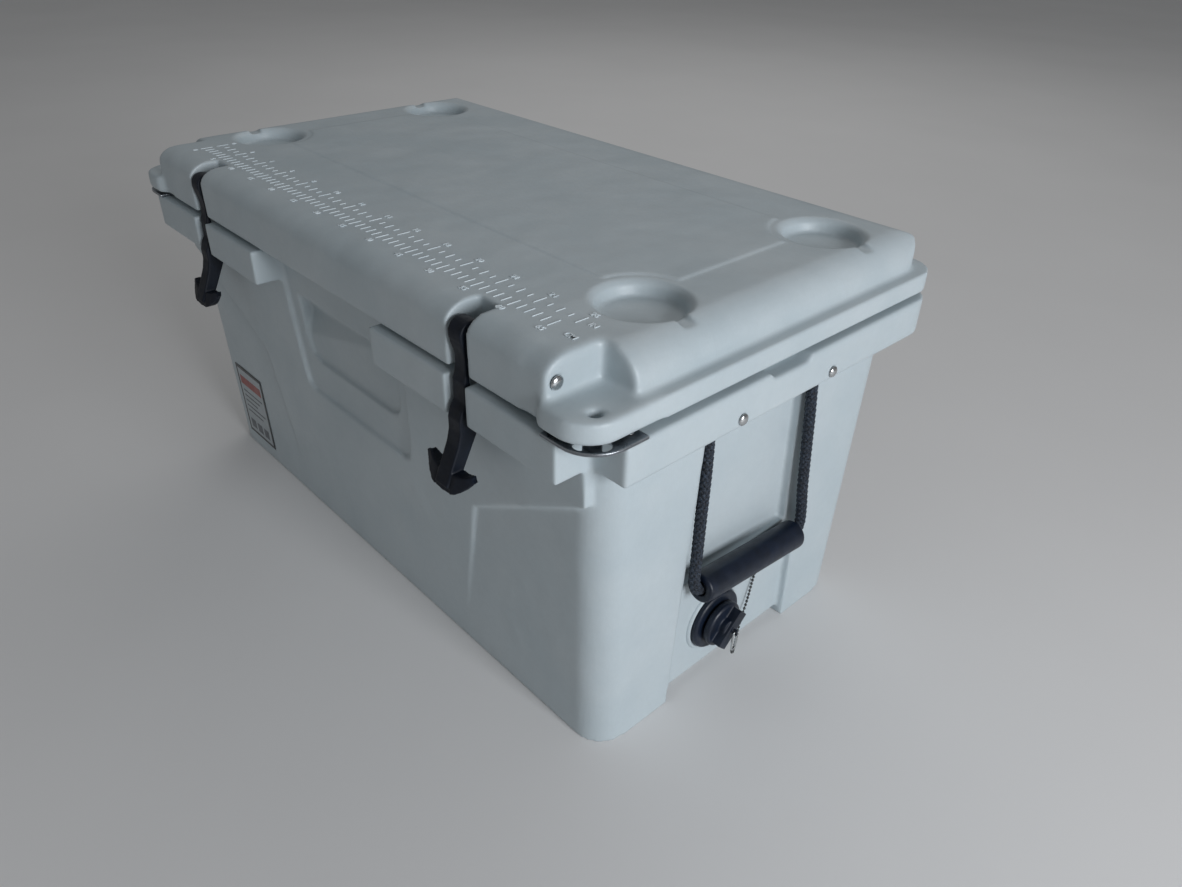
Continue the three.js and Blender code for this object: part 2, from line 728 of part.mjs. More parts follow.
// press-in plug that closes a foam fill hole, its flat head flush with the skin
function fillPlug(z) {
  const radius = FILL_HOLE_R - GAP;
  return turned(
    [
      [0, 0],
      [radius - 1, 0],
      [radius, 1],
      [radius, SKIN - 1],
      [0, SKIN - 1],
    ],
    0,
    0,
    z,
    Z_AXIS,
    20,
  );
}

// ---- latches ------------------------------------------------------------------------------------
// side view of the strap: round head, flat strap, catch under the rim, pull leaning out below
function latchProfile() {
  const headR = 13;
  const frontY = -238.5;
  const backY = frontY + 6.5;
  const shape = new THREE.Shape();
  shape.moveTo(LATCH_BOLT_Y + headR, LATCH_BOLT_Z);
  shape.absarc(LATCH_BOLT_Y, LATCH_BOLT_Z, headR, 0, -Math.PI / 2, true);
  shape.lineTo(backY, LATCH_BOLT_Z - 22);
  shape.lineTo(backY, RIM_BOTTOM_Z + 16);
  shape.lineTo(backY + 5, RIM_BOTTOM_Z + 8);
  shape.lineTo(backY + 4, RIM_BOTTOM_Z - 14);
  shape.lineTo(PULL_Y + 14, RIM_BOTTOM_Z - 44);
  shape.lineTo(PULL_Y + 6, PULL_Z + 6);
  shape.lineTo(PULL_Y - 7, PULL_Z + 6);
  shape.lineTo(frontY - 10, RIM_BOTTOM_Z - 21);
  shape.lineTo(frontY - 7, RIM_BOTTOM_Z - 9);
  shape.lineTo(frontY - 7, RIM_BOTTOM_Z + 3);
  shape.lineTo(frontY - 4, RIM_BOTTOM_Z + 12);
  shape.lineTo(frontY, RIM_BOTTOM_Z + 18);
  shape.lineTo(frontY, LATCH_BOLT_Z - 6);
  shape.absarc(LATCH_BOLT_Y, LATCH_BOLT_Z, headR, Math.PI * 1.15, 0, true);
  shape.closePath();
  return shape;
}

// anchor-shaped pull, arms swept up and leaning back toward the tub
function latchPull() {
  const z = PULL_Z;
  const shape = new THREE.Shape();
  shape.moveTo(0, z);
  shape.quadraticCurveTo(T_BAR_HALF - 8, z + 1, T_BAR_HALF, z + 21);
  shape.lineTo(T_BAR_HALF - 6, z + 27);
  shape.quadraticCurveTo(T_BAR_HALF / 2, z + 16, 8, z + 18);
  shape.lineTo(-8, z + 18);
  shape.quadraticCurveTo(-T_BAR_HALF / 2, z + 16, -T_BAR_HALF + 6, z + 27);
  shape.lineTo(-T_BAR_HALF, z + 21);
  shape.quadraticCurveTo(-T_BAR_HALF + 8, z + 1, 0, z);
  const geometry = prismY(shape, PULL_Y - 6, PULL_Y + 6);
  const position = geometry.getAttribute('position');
  for (let i = 0; i < position.count; i++) {
    position.setY(i, position.getY(i) + (position.getZ(i) - z) * PULL_LEAN);
  }
  geometry.translate(LATCH_X, 0, 0);
  return solid(geometry);
}

function buildLatch() {
  const half = LATCH_WIDTH / 2;
  const strap = solid(prismX(latchProfile(), LATCH_X - half, LATCH_X + half));
  const bore = cylinder(LATCH_X, LATCH_BOLT_Y, LATCH_BOLT_Z, LATCH_BOLT_R + GAP, LATCH_WIDTH + 2, X_AXIS, 20);
  return cut(join([strap, latchPull()]), [bore]);
}

// long bolt with a domed head in the lid's corner notch
function buildLatchBolt() {
  const tip = LATCH_X - LATCH_SLOT_WIDTH / 2 - 10;
  const middle = (CORNER_NOTCH_X + tip) / 2;
  const length = CORNER_NOTCH_X - tip;
  const shank = cylinder(middle, LATCH_BOLT_Y, LATCH_BOLT_Z, LATCH_BOLT_R, length, X_AXIS, 20);
  return shank.add(domedHead(CORNER_NOTCH_X + GAP, LATCH_BOLT_Y, LATCH_BOLT_Z, 6.5, 3.2, X_AXIS));
}

// domed screw head standing on a point, its shank side sunk a little for a firm join
function domedHead(x, y, z, radius, height, axis) {
  const profile = [[0, -1], [1.5, -1], [1.5, 0], [radius, 0]];
  const steps = 4;
  for (let i = 1; i <= steps; i++) {
    const angle = (i / steps) * (Math.PI / 2);
    profile.push([i === steps ? 0 : radius * Math.cos(angle), height * Math.sin(angle)]);
  }
  return turned(profile, x, y, z, axis, 16);
}

// ---- corner plates ------------------------------------------------------------------------------
function plateScrewPlaces() {
  return [
    [PLATE_FRONT_END_X + 8, -RIM_HALF_Y + 11],
    [RIM_HALF_X - 11, PLATE_SIDE_END_Y - 9],
  ];
}

function buildPlate() {
  const outerX = RIM_HALF_X + PLATE_OVERHANG;
  const outerY = RIM_HALF_Y + PLATE_OVERHANG;
  const outer = roundedRectangle(outerX, outerY, TUB_CORNER_R);
  const inner = roundedRectangle(outerX - PLATE_ARM, outerY - PLATE_ARM, TUB_CORNER_R - 8);
  outer.holes.push(inner);
  const z0 = RIM_TOP_Z + GAP;
  const ring = solid(prismZ(outer, z0, z0 + PLATE_THICK, 10));
  const cornerBox = box(PLATE_FRONT_END_X, outerX + 1, -outerY - 1, PLATE_SIDE_END_Y, z0 - 1, z0 + 9);
  const corner = ring.intersect(cornerBox);
  const gusset = solid(
    prismZ(
      polygon([
        [outerX - 46, -outerY + PLATE_ARM - 1],
        [outerX - 30, -outerY + 8],
        [outerX - 8, -outerY + 30],
        [outerX - PLATE_ARM + 1, -outerY + 46],
      ]),
      z0,
      z0 + PLATE_THICK,
    ),
  );
  const holes = [-1, 1].map((side) => {
    const shape = new THREE.Shape();
    shape.absarc(0, 0, 7.5, -Math.PI / 2, Math.PI / 2);
    shape.closePath();
    const geometry = prismZ(shape, z0 - 1, z0 + PLATE_THICK + 1);
    if (side < 0) {
      geometry.rotateZ(Math.PI);
    }
    geometry.translate(side * 7.5, 0, 0);
    geometry.rotateZ(Math.PI / 4);
    geometry.translate(outerX - 18.5, -outerY + 18.5, 0);
    return solid(geometry);
  });
  const screwHoles = plateScrewPlaces().map(([x, y]) =>
    cylinder(x, y, z0, PLATE_SCREW_R + GAP, 12, Z_AXIS, 16),
  );
  return cut(corner.add(gusset), [...holes, ...screwHoles]);
}

// ---- rope handles -------------------------------------------------------------------------------
const ropeSection = new THREE.Shape();
ropeSection.absarc(0, 0, ROPE_R, 0, Math.PI * 2);

function tubeAlong(points, section, steps, sides) {
  const path = new THREE.CatmullRomCurve3(points.map(([x, y, z]) => new THREE.Vector3(x, y, z)));
  return new THREE.ExtrudeGeometry(section, {
    steps,
    bevelEnabled: false,
    extrudePath: path,
    curveSegments: sides / 2,
  });
}

// one strand's centre line from its top down to the grip's end, on the +Y side
const STRAND = [
  [ROPE_TOP_X, ROPE_TOP_Y, ROPE_AXIS_Z],
  [401, 78.6, 290],
  [403.5, 81.6, 235],
  [405.5, 83.8, 195],
  [407.5, 86, 168],
];

// point on the tilted grip's axis, or off it by a height
function alongGrip(along, up) {
  const tilt = THREE.MathUtils.degToRad(GRIP_TILT);
  return [
    GRIP_X,
    along * Math.cos(tilt) + up * Math.sin(tilt),
    GRIP_Z - along * Math.sin(tilt) + up * Math.cos(tilt),
  ];
}

// the moving rope: down one strand, through the grip, up the other
function ropeRoute() {
  const turn = (side) => [alongGrip(side * (GRIP_HALF + 8), 9), alongGrip(side * (GRIP_HALF + 3), 1)];
  const down = (side) => STRAND.map(([x, y, z]) => [x, side * y, z]);
  return [
    ...down(-1),
    ...turn(-1),
    alongGrip(-40, 0),
    alongGrip(40, 0),
    ...turn(1).reverse(),
    ...down(1).reverse(),
  ];
}

function buildRope() {
  const tube = solid(tubeAlong(ropeRoute(), ropeSection, 40, 10));
  const ends = [-1, 1].map((side) => {
    const ball = new THREE.SphereGeometry(ROPE_R, 10, 6);
    ball.translate(ROPE_TOP_X, side * ROPE_TOP_Y, ROPE_AXIS_Z);
    return solid(ball);
  });
  return join([tube, ...ends]);
}

// the rope's end in the rim: up into the pocket, then folded inward and held by the screw
function buildRopeEnd() {
  const bottom = ROPE_AXIS_Z + ROPE_R + GAP;
  const stubMiddle = (bottom + ROPE_SCREW_Z) / 2;
  const stub = cylinder(ROPE_TOP_X, ROPE_TOP_Y, stubMiddle, ROPE_R, ROPE_SCREW_Z - bottom, Z_AXIS, 10);
  const foldEnd = ROPE_SCREW_Y - 7;
  const foldMiddle = (ROPE_TOP_Y + foldEnd) / 2;
  const fold = cylinder(ROPE_TOP_X, foldMiddle, ROPE_SCREW_Z, ROPE_R, ROPE_TOP_Y - foldEnd, Y_AXIS, 10);
  const bend = new THREE.SphereGeometry(ROPE_R, 10, 6);
  bend.translate(ROPE_TOP_X, ROPE_TOP_Y, ROPE_SCREW_Z);
  const bore = cylinder(ROPE_TOP_X, ROPE_SCREW_Y, ROPE_SCREW_Z, ROPE_SCREW_R + GAP, 30, X_AXIS, 16);
  return cut(join([stub, fold, solid(bend)]), [bore]);
}

function buildRopeScrew() {
  const length = 34;
  const shankMiddle = RIM_HALF_X - length / 2;
  const shank = cylinder(shankMiddle, ROPE_SCREW_Y, ROPE_SCREW_Z, ROPE_SCREW_R, length, X_AXIS, 16);
  return shank.add(domedHead(RIM_HALF_X + GAP, ROPE_SCREW_Y, ROPE_SCREW_Z, 6, 3, X_AXIS));
}

function buildGrip() {
  const round = 2;
  const profile = [
    [GRIP_BORE_R, 0],
    [GRIP_R - round, 0],
    [GRIP_R, round],
    [GRIP_R, GRIP_HALF * 2 - round],
    [GRIP_R - round, GRIP_HALF * 2],
    [GRIP_BORE_R, GRIP_HALF * 2],
    [GRIP_BORE_R, 0],
  ];
  const [x, y, z] = alongGrip(-GRIP_HALF, 0);
  const tilt = THREE.MathUtils.degToRad(GRIP_TILT);
  return turned(profile, x, y, z, new THREE.Vector3(0, Math.cos(tilt), -Math.sin(tilt)), 28);
}

// ---- drain --------------------------------------------------------------------------------------

function buildDrainFlange() {
  const backX = FLANGE_FACE_X - FLANGE_THICK;
  const tubeEnd = drainSeatX() - WASHER_THICK - NUT_THICK - 3;
  const disc = turned(
    [
      [0, 0],
      [FLANGE_R, 0],
      [FLANGE_R, FLANGE_THICK - 2],
      [FLANGE_R - 2, FLANGE_THICK],
      [0, FLANGE_THICK],
    ],
    backX,
    DRAIN_Y,
    DRAIN_Z,
    X_AXIS,
    40,
  );
  const tubeMiddle = (tubeEnd + backX) / 2 + 1;
  const tube = cylinder(tubeMiddle, DRAIN_Y, DRAIN_Z, DRAIN_TUBE_R, backX - tubeEnd + 2, X_AXIS);
  const boreLength = FLANGE_FACE_X - tubeEnd + 20;
  const bore = cylinder((tubeEnd + FLANGE_FACE_X) / 2, DRAIN_Y, DRAIN_Z, DRAIN_BORE_R, boreLength, X_AXIS);
  return disc.add(tube).subtract(bore);
}

function ringOnX(x0, x1, outerR, innerR, sides = 32) {
  const middle = (x0 + x1) / 2;
  const outer = cylinder(middle, DRAIN_Y, DRAIN_Z, outerR, x1 - x0, X_AXIS, sides);
  return outer.subtract(cylinder(middle, DRAIN_Y, DRAIN_Z, innerR, x1 - x0 + 2, X_AXIS));
}

function buildDrainPlug() {
  const backX = FLANGE_FACE_X + 2 * GAP + DRAIN_GASKET_THICK;
  const cap = turned(
    [
      [0, 0],
      [CAP_R, 0],
      [CAP_R, CAP_THICK - 2],
      [CAP_R - 2, CAP_THICK],
      [0, CAP_THICK],
    ],
    backX,
    DRAIN_Y,
    DRAIN_Z,
    X_AXIS,
    36,
  );
  const stemMiddle = backX + 2 - PLUG_STEM_LENGTH / 2;
  const stem = cylinder(stemMiddle, DRAIN_Y, DRAIN_Z, PLUG_STEM_R, PLUG_STEM_LENGTH, X_AXIS);
  const wingFoot = backX + CAP_THICK - 1;
  const wing = new THREE.BoxGeometry(WING_DEPTH, WING_LENGTH, WING_WIDTH);
  wing.rotateX(Math.PI / 4);
  wing.translate(wingFoot + WING_DEPTH / 2, DRAIN_Y, DRAIN_Z);
  const hub = cylinder(wingFoot + 4, DRAIN_Y, DRAIN_Z, 11, 8, X_AXIS, 24);
  const eye = box(wingFoot + WING_DEPTH - 2, LINK_X + 3, DRAIN_Y - 1, DRAIN_Y + 1, DRAIN_Z - 4, DRAIN_Z + 4);
  const eyeHole = cylinder(LINK_X, DRAIN_Y, DRAIN_Z, 1.6, 10, Y_AXIS, 12);
  return join([cap, stem, solid(wing), hub, eye]).subtract(eyeHole);
}

// wire link hanging from the plug's eye
function buildChainLink() {
  const outline = roundedRectangle(LINK_HALF_WIDTH, LINK_LENGTH / 2, LINK_HALF_WIDTH - 0.1);
  const innerHalf = LINK_HALF_WIDTH - WIRE;
  outline.holes.push(roundedRectangle(innerHalf, LINK_LENGTH / 2 - WIRE, innerHalf - 0.1));
  const geometry = prismX(outline, LINK_X - WIRE / 2, LINK_X + WIRE / 2, 4);
  geometry.translate(0, DRAIN_Y, DRAIN_Z + WIRE / 2 - LINK_LENGTH / 2);
  return solid(geometry);
}

// ball chain from the link down and back to its screw behind the grip
const CHAIN_ROUTE = [
  [LINK_X - 1, DRAIN_Y, CHAIN_TOP_Z],
  [LINK_X - 1, DRAIN_Y, CHAIN_TOP_Z - 3],
  [LINK_X - 3, -23, 39],
  [414, -10, 37],
  [405, 5, 37],
  [398.5, 17, 43],
  [396, 26, 57],
  [395, 31, 71],
  [394, 35, 88],
  [394, 37.5, 104],
  [394, CHAIN_ANCHOR_Y, CHAIN_ANCHOR_Z - 5],
];

function buildChain() {
  const section = new THREE.Shape();
  section.absarc(0, 0, CHAIN_R, 0, Math.PI * 2);
  return solid(tubeAlong(CHAIN_ROUTE, section, 30, 8));
}

// screw and eye that hold the chain's upper end on the channel floor
function buildChainScrew() {
  const x = channelFloorX();
  const shank = cylinder(x - 4, CHAIN_ANCHOR_Y, CHAIN_ANCHOR_Z, CHAIN_SCREW_R, 11, X_AXIS, 12);
  return shank.add(domedHead(x + GAP, CHAIN_ANCHOR_Y, CHAIN_ANCHOR_Z, 4.4, 3.4, X_AXIS));
}

// ---- label --------------------------------------------------------------------------------------
function buildLabel() {
  const thick = 0.5;
  const lean = Math.atan((TUB_TOP_HALF_Y - TUB_BOTTOM_HALF_Y) / RIM_TOP_Z);
  const geometry = new THREE.BoxGeometry(LABEL_WIDTH, thick, LABEL_HEIGHT);
  geometry.rotateX(lean);
  geometry.translate(LABEL_X, -tubHalfY(LABEL_Z) - GAP - thick / 2, LABEL_Z);
  return solid(geometry);
}

// ---- assembly -----------------------------------------------------------------------------------
addPart('body_shell', buildTub(), white);
addPart('lid_shell', buildLid(), white);
addPart('lid_gasket', gasketRing(0, RIM_TOP_Z + GAP, LID_BOTTOM_Z + GASKET_GROOVE - GAP), sealRubber);
addPart('body_foam', tubCavity(GAP), foam);
const lidFoam = prismZ(lidPad(SKIN + GAP), PAD_BOTTOM_Z + SKIN + GAP, LID_CAVITY_TOP_Z - GAP);
addPart('lid_foam', solid(lidFoam), foam);
addPart('body_fill_plug', fillPlug(0), blackPlastic);
addPart('lid_fill_plug', fillPlug(PAD_BOTTOM_Z), blackPlastic);

const seat = drainSeatX();
addPart('drain_flange', buildDrainFlange(), blackPlastic);
const ringHoleR = DRAIN_TUBE_R + GAP;
addPart('drain_washer', ringOnX(seat - GAP - WASHER_THICK, seat - GAP, DRAIN_NUT_R, ringHoleR), sealRubber);
const nutFace = seat - 2 * GAP - WASHER_THICK;
addPart('drain_nut', ringOnX(nutFace - NUT_THICK, nutFace, DRAIN_NUT_R, ringHoleR, 6), blackPlastic);
const gasketX = FLANGE_FACE_X + GAP;
addPart('drain_plug_gasket', ringOnX(gasketX, gasketX + DRAIN_GASKET_THICK, 20, DRAIN_BORE_R), sealRubber);
addPart('drain_plug', buildDrainPlug(), blackPlastic);
addPart('drain_link', buildChainLink(), steel);
addPart('drain_chain', buildChain(), steel);
addPart('drain_chain_screw', buildChainScrew(), steel);
addPart('body_label', buildLabel(), paper);

const sides = [
  ['right', (shape) => shape],
  ['left', mirrorX],
];
for (const [side, place] of sides) {
  addPart(`latch_${side}`, place(buildLatch()), rubber);
  addPart(`latch_bolt_${side}`, place(buildLatchBolt()), steel);
  addPart(`corner_plate_${side}`, place(buildPlate()), steel);
  plateScrewPlaces().forEach(([x, y], index) => {
    const screw = cylinder(x, y, RIM_TOP_Z - 5, PLATE_SCREW_R, 12 + 2 * PLATE_THICK, Z_AXIS, 16)
      .add(domedHead(x, y, RIM_TOP_Z + PLATE_THICK + 2 * GAP, 3.6, 1.4, Z_AXIS));
    addPart(`plate_screw_${side}_${index + 1}`, place(screw), steel);
  });
  const rod = cylinder(HINGE_X, HINGE_Y, HINGE_Z, HINGE_ROD_R, KNUCKLE_LENGTH * 3, X_AXIS, 20);
  addPart(`hinge_rod_${side}`, place(rod), steel);
  addPart(`handle_rope_${side}`, place(buildRope()), cord);
  addPart(`handle_grip_${side}`, place(buildGrip()), blackPlastic);
  addPart(`rope_end_${side}_back`, place(buildRopeEnd()), cord);
  addPart(`rope_end_${side}_front`, place(mirrorY(buildRopeEnd())), cord);
  addPart(`rope_screw_${side}_back`, place(buildRopeScrew()), steel);
  addPart(`rope_screw_${side}_front`, place(mirrorY(buildRopeScrew())), steel);
}

// origin to the middle of the footprint's bounding box, on the floor
const bounds = new THREE.Box3().setFromObject(group);
const middle = bounds.getCenter(new THREE.Vector3());
for (const mesh of group.children) {
  mesh.geometry.translate(-middle.x, -middle.y, -bounds.min.z);
}

export default group;
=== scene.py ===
"""Hard ice chest: camera, cords, surface pieces, materials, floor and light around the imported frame."""
import math

import bmesh
import bpy
import numpy as np
from mathutils import Euler, Matrix, Vector


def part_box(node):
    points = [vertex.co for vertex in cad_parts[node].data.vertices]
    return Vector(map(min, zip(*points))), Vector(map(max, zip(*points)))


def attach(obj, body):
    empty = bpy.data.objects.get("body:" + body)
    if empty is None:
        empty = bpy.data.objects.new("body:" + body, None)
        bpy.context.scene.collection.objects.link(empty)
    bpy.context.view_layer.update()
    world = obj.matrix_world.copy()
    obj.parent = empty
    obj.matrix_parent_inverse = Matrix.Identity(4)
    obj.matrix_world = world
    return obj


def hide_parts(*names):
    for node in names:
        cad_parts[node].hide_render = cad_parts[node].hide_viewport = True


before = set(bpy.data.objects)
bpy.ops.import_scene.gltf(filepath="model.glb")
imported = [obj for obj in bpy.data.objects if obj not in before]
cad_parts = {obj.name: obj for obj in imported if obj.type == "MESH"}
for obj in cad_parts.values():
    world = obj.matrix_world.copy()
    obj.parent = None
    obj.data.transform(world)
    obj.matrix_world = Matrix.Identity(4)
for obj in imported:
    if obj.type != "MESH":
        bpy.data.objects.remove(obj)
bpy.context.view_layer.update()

MM = 0.001
SIDES = {"right": 1, "left": -1}


# ---- camera ----------------------------------------------------------------------------------
CAMERA_PLACE = (0.8002, -0.6003, 0.7359)
CAMERA_TURN = (57.069, -1.355, 47.150)
CAMERA_LENS = 26.96
SENSOR_WIDTH = 36
NEAR_CLIP = 0.02


def make_camera():
    data = bpy.data.cameras.new("camera")
    data.lens = CAMERA_LENS
    data.sensor_width = SENSOR_WIDTH
    data.sensor_fit = "HORIZONTAL"
    data.clip_start = NEAR_CLIP
    camera = bpy.data.objects.new("camera", data)
    camera.location = CAMERA_PLACE
    camera.rotation_euler = Euler([math.radians(angle) for angle in CAMERA_TURN], "XYZ")
    bpy.context.scene.collection.objects.link(camera)
    bpy.context.scene.camera = camera


make_camera()


# ---- materials -------------------------------------------------------------------------------
def linear(colour):
    """An sRGB hex colour as linear red, green, blue and alpha."""
    parts = [int(colour[i : i + 2], 16) / 255 for i in (1, 3, 5)]
    curve = [c / 12.92 if c <= 0.04045 else ((c + 0.055) / 1.055) ** 2.4 for c in parts]
    return (*curve, 1.0)


def add_node(tree, kind, sockets=None, **settings):
    """Adds a shader node; a socket's value is a number, a colour or the output that feeds it."""
    node = tree.nodes.new(kind)
    for name, value in settings.items():
        setattr(node, name, value)
    for key, value in (sockets or {}).items():
        if isinstance(value, bpy.types.NodeSocket):
            tree.links.new(value, node.inputs[key])
        else:
            node.inputs[key].default_value = value
    return node


def start_material(name, values):
    """A material, its node tree, its shader and its coordinates in metres on the piece."""
    material = bpy.data.materials.new(name)
    material.use_nodes = True
    tree = material.node_tree
    shader = tree.nodes["Principled BSDF"]
    for key, value in values.items():
        shader.inputs[key].default_value = value
    place = add_node(tree, "ShaderNodeTexCoord").outputs["Object"]
    return material, tree, shader, place


def noise(tree, place, size_mm, detail=2.0, roughness=0.5):
    """Smooth noise whose features are about size_mm across."""
    sockets = {"Vector": place, "Scale": 1 / (size_mm * MM), "Detail": detail, "Roughness": roughness}
    return add_node(tree, "ShaderNodeTexNoise", sockets).outputs["Fac"]


def spread_of(tree, value, low, high):
    """A noise value stretched to run from low to high."""
    sockets = {"Value": value, "From Min": 0.3, "From Max": 0.7, "To Min": low, "To Max": high}
    return add_node(tree, "ShaderNodeMapRange", sockets).outputs["Result"]


def blend_colours(tree, factor, low, high):
    """One colour fading into another."""
    # a mix node's colour sockets are its inputs 6 and 7 and its output 2
    sockets = {0: factor, 6: low, 7: high}
    return add_node(tree, "ShaderNodeMix", sockets, data_type="RGBA").outputs[2]


def bump(tree, shader, layers):
    """Stacks bump layers given as (height, depth in mm)."""
    normal = None
    for height, depth_mm in layers:
        sockets = {"Height": height, "Distance": depth_mm * MM, "Strength": 1.0}
        if normal is not None:
            sockets["Normal"] = normal
        normal = add_node(tree, "ShaderNodeBump", sockets).outputs["Normal"]
    tree.links.new(normal, shader.inputs["Normal"])


def rotomoulded_polyethylene():
    # Polyethylene powder melted onto a blasted mould: cool white, satin, with a soft orange-peel
    # skin and a slow waviness where thick walls shrank, so that highlights spread and wander.
    values = {"IOR": 1.51, "Subsurface Weight": 0.06, "Subsurface Radius": (0.004, 0.005, 0.006)}
    material, tree, shader, place = start_material("rotomoulded_polyethylene", values)
    shader.inputs["Subsurface Scale"].default_value = 1.0
    cloud = noise(tree, place, 90, 3)
    tint = blend_colours(tree, spread_of(tree, cloud, 0, 1), linear("#B8C4C9"), linear("#C1CBCF"))
    grime = noise(tree, place, 7, 5, 0.65)
    dirt = spread_of(tree, grime, 0, 0.10)
    tree.links.new(blend_colours(tree, dirt, tint, linear("#9BA5A9")), shader.inputs["Base Color"])
    tree.links.new(spread_of(tree, noise(tree, place, 22, 4), 0.40, 0.50), shader.inputs["Roughness"])
    # the real grain is about 0.5 mm and is drawn at 2.2 mm, the finest that still shows
    grain = noise(tree, place, 2.2, 2)
    waves = noise(tree, place, 48, 1)
    bump(tree, shader, [(waves, 1.4), (grain, 0.10)])
    return material


def raised_mark_polyethylene():
    # The same plastic on the sharp moulded marks, smoother than the skin and painted paler as a
    # highlight.
    material, tree, shader, place = start_material("raised_mark_polyethylene", {"IOR": 1.51})
    # painted highlight: both tones are paler than the lid's skin, standing in for the light the raised
    # marks catch
    highlight_mottle = spread_of(tree, noise(tree, place, 14, 3), 0, 1)
    tree.links.new(blend_colours(tree, highlight_mottle, linear("#D6E2E8"), linear("#E4EDF1")),
                   shader.inputs["Base Color"])
    tree.links.new(spread_of(tree, noise(tree, place, 5, 2), 0.34, 0.46), shader.inputs["Roughness"])
    return material


def moulded_latch_rubber():
    # Injection-moulded thermoplastic rubber: nearly black, matte, faintly dusty, with a fine
    # sparked-mould grain that breaks up its wide dull highlight.
    values = {"IOR": 1.50, "Specular IOR Level": 0.35}
    material, tree, shader, place = start_material("moulded_latch_rubber", values)
    dust = spread_of(tree, noise(tree, place, 11, 4), 0, 1)
    tree.links.new(blend_colours(tree, dust, linear("#080F1A"), linear("#0F1826")),
                   shader.inputs["Base Color"])
    tree.links.new(spread_of(tree, noise(tree, place, 6, 3), 0.48, 0.62), shader.inputs["Roughness"])
    bump(tree, shader, [(noise(tree, place, 1.4, 2), 0.06)])
    return material


def injection_moulded_nylon():
    # Injection-moulded black nylon: satin, slightly glossier than rubber, with a light grain and
    # faint handling streaks.
    values = {"IOR": 1.53, "Specular IOR Level": 0.4}
    material, tree, shader, place = start_material("injection_moulded_nylon", values)
    wear = spread_of(tree, noise(tree, place, 16, 4), 0, 1)
    tree.links.new(blend_colours(tree, wear, linear("#0A1320"), linear("#131E30")),
                   shader.inputs["Base Color"])
    tree.links.new(spread_of(tree, noise(tree, place, 9, 3), 0.34, 0.50), shader.inputs["Roughness"])
    bump(tree, shader, [(noise(tree, place, 1.2, 2), 0.04)])
    return material


def braided_polyester():
    # Solid-braid polyester rope: soft black yarn whose fibres catch a little light at the edges.
    values = {"IOR": 1.50, "Sheen Weight": 0.35, "Sheen Roughness": 0.4, "Roughness": 0.72}
    values["Sheen Tint"] = linear("#8894A4")
    material, tree, shader, place = start_material("braided_polyester", values)
    yarn = spread_of(tree, noise(tree, place, 1.8, 3), -0.4, 1)
    tree.links.new(blend_colours(tree, yarn, linear("#080D16"), linear("#34404F")),
                   shader.inputs["Base Color"])
    # single filaments are 0.02 mm and are drawn as 0.5 mm threads, the finest that show
    bump(tree, shader, [(noise(tree, place, 0.5, 3), 0.12)])
    return material


def polished_stainless():
    # Turned and tumbled stainless steel: bright, with fine random scratches.
    values = {"Metallic": 1.0, "Base Color": linear("#C9CBCC")}
    material, tree, shader, place = start_material("polished_stainless", values)
    tree.links.new(spread_of(tree, noise(tree, place, 1.5, 4), 0.16, 0.30), shader.inputs["Roughness"])
    bump(tree, shader, [(noise(tree, place, 0.9, 2), 0.015)])
    return material


def tarnished_nickel():
    # Nickel-plated ball chain gone dull from salt water: dark grey metal with brighter worn crowns.
    material, tree, shader, place = start_material("tarnished_nickel", {"Metallic": 1.0})
    wear = spread_of(tree, noise(tree, place, 2.0, 3), 0, 1)
    tree.links.new(blend_colours(tree, wear, linear("#2B2C2D"), linear("#6C6E6E")),
                   shader.inputs["Base Color"])
    tree.links.new(spread_of(tree, noise(tree, place, 1.2, 2), 0.22, 0.38), shader.inputs["Roughness"])
    return material


def stamped_dark_stainless():
    # Stamped stainless sheet, brushed along its length and dulled dark, its sheared edges bright.
    material, tree, shader, place = start_material("stamped_dark_stainless", {"Metallic": 1.0})
    edge = add_node(tree, "ShaderNodeNewGeometry").outputs["Pointiness"]
    sockets = {"Value": edge, "From Min": 0.51, "From Max": 0.56, "To Min": 0.0, "To Max": 1.0}
    bright = add_node(tree, "ShaderNodeMapRange", sockets).outputs["Result"]
    streak = add_node(tree, "ShaderNodeMapping", {"Vector": place, "Scale": (1.0, 1.0, 12.0)})
    brushed = noise(tree, streak.outputs["Vector"], 6, 3)
    face = blend_colours(tree, spread_of(tree, brushed, 0, 1), linear("#70757B"), linear("#8A8F95"))
    tree.links.new(blend_colours(tree, bright, face, linear("#C4C8CB")), shader.inputs["Base Color"])
    tree.links.new(spread_of(tree, brushed, 0.26, 0.40), shader.inputs["Roughness"])
    return material


def moulded_seal_rubber():
    # Extruded foam-rubber gasket: dark, soft and dull.
    material, tree, shader, place = start_material("moulded_seal_rubber", {"IOR": 1.5})
    tree.links.new(blend_colours(tree, noise(tree, place, 4, 3), linear("#24272A"), linear("#34383B")),
                   shader.inputs["Base Color"])
    tree.links.new(spread_of(tree, noise(tree, place, 3, 2), 0.70, 0.85), shader.inputs["Roughness"])
    bump(tree, shader, [(noise(tree, place, 0.8, 2), 0.08)])
    return material


def blown_polyurethane_foam():
    # Poured rigid foam: straw yellow with small closed cells.
    material, tree, shader, place = start_material("blown_polyurethane_foam", {"IOR": 1.45})
    cells = add_node(tree, "ShaderNodeTexVoronoi", {"Vector": place, "Scale": 1 / (2.5 * MM)})
    tree.links.new(blend_colours(tree, cells.outputs["Distance"], linear("#D9C98F"), linear("#F0E6BC")),
                   shader.inputs["Base Color"])
    tree.links.new(spread_of(tree, noise(tree, place, 6, 2), 0.82, 0.95), shader.inputs["Roughness"])
    bump(tree, shader, [(cells.outputs["Distance"], 0.4)])
    return material


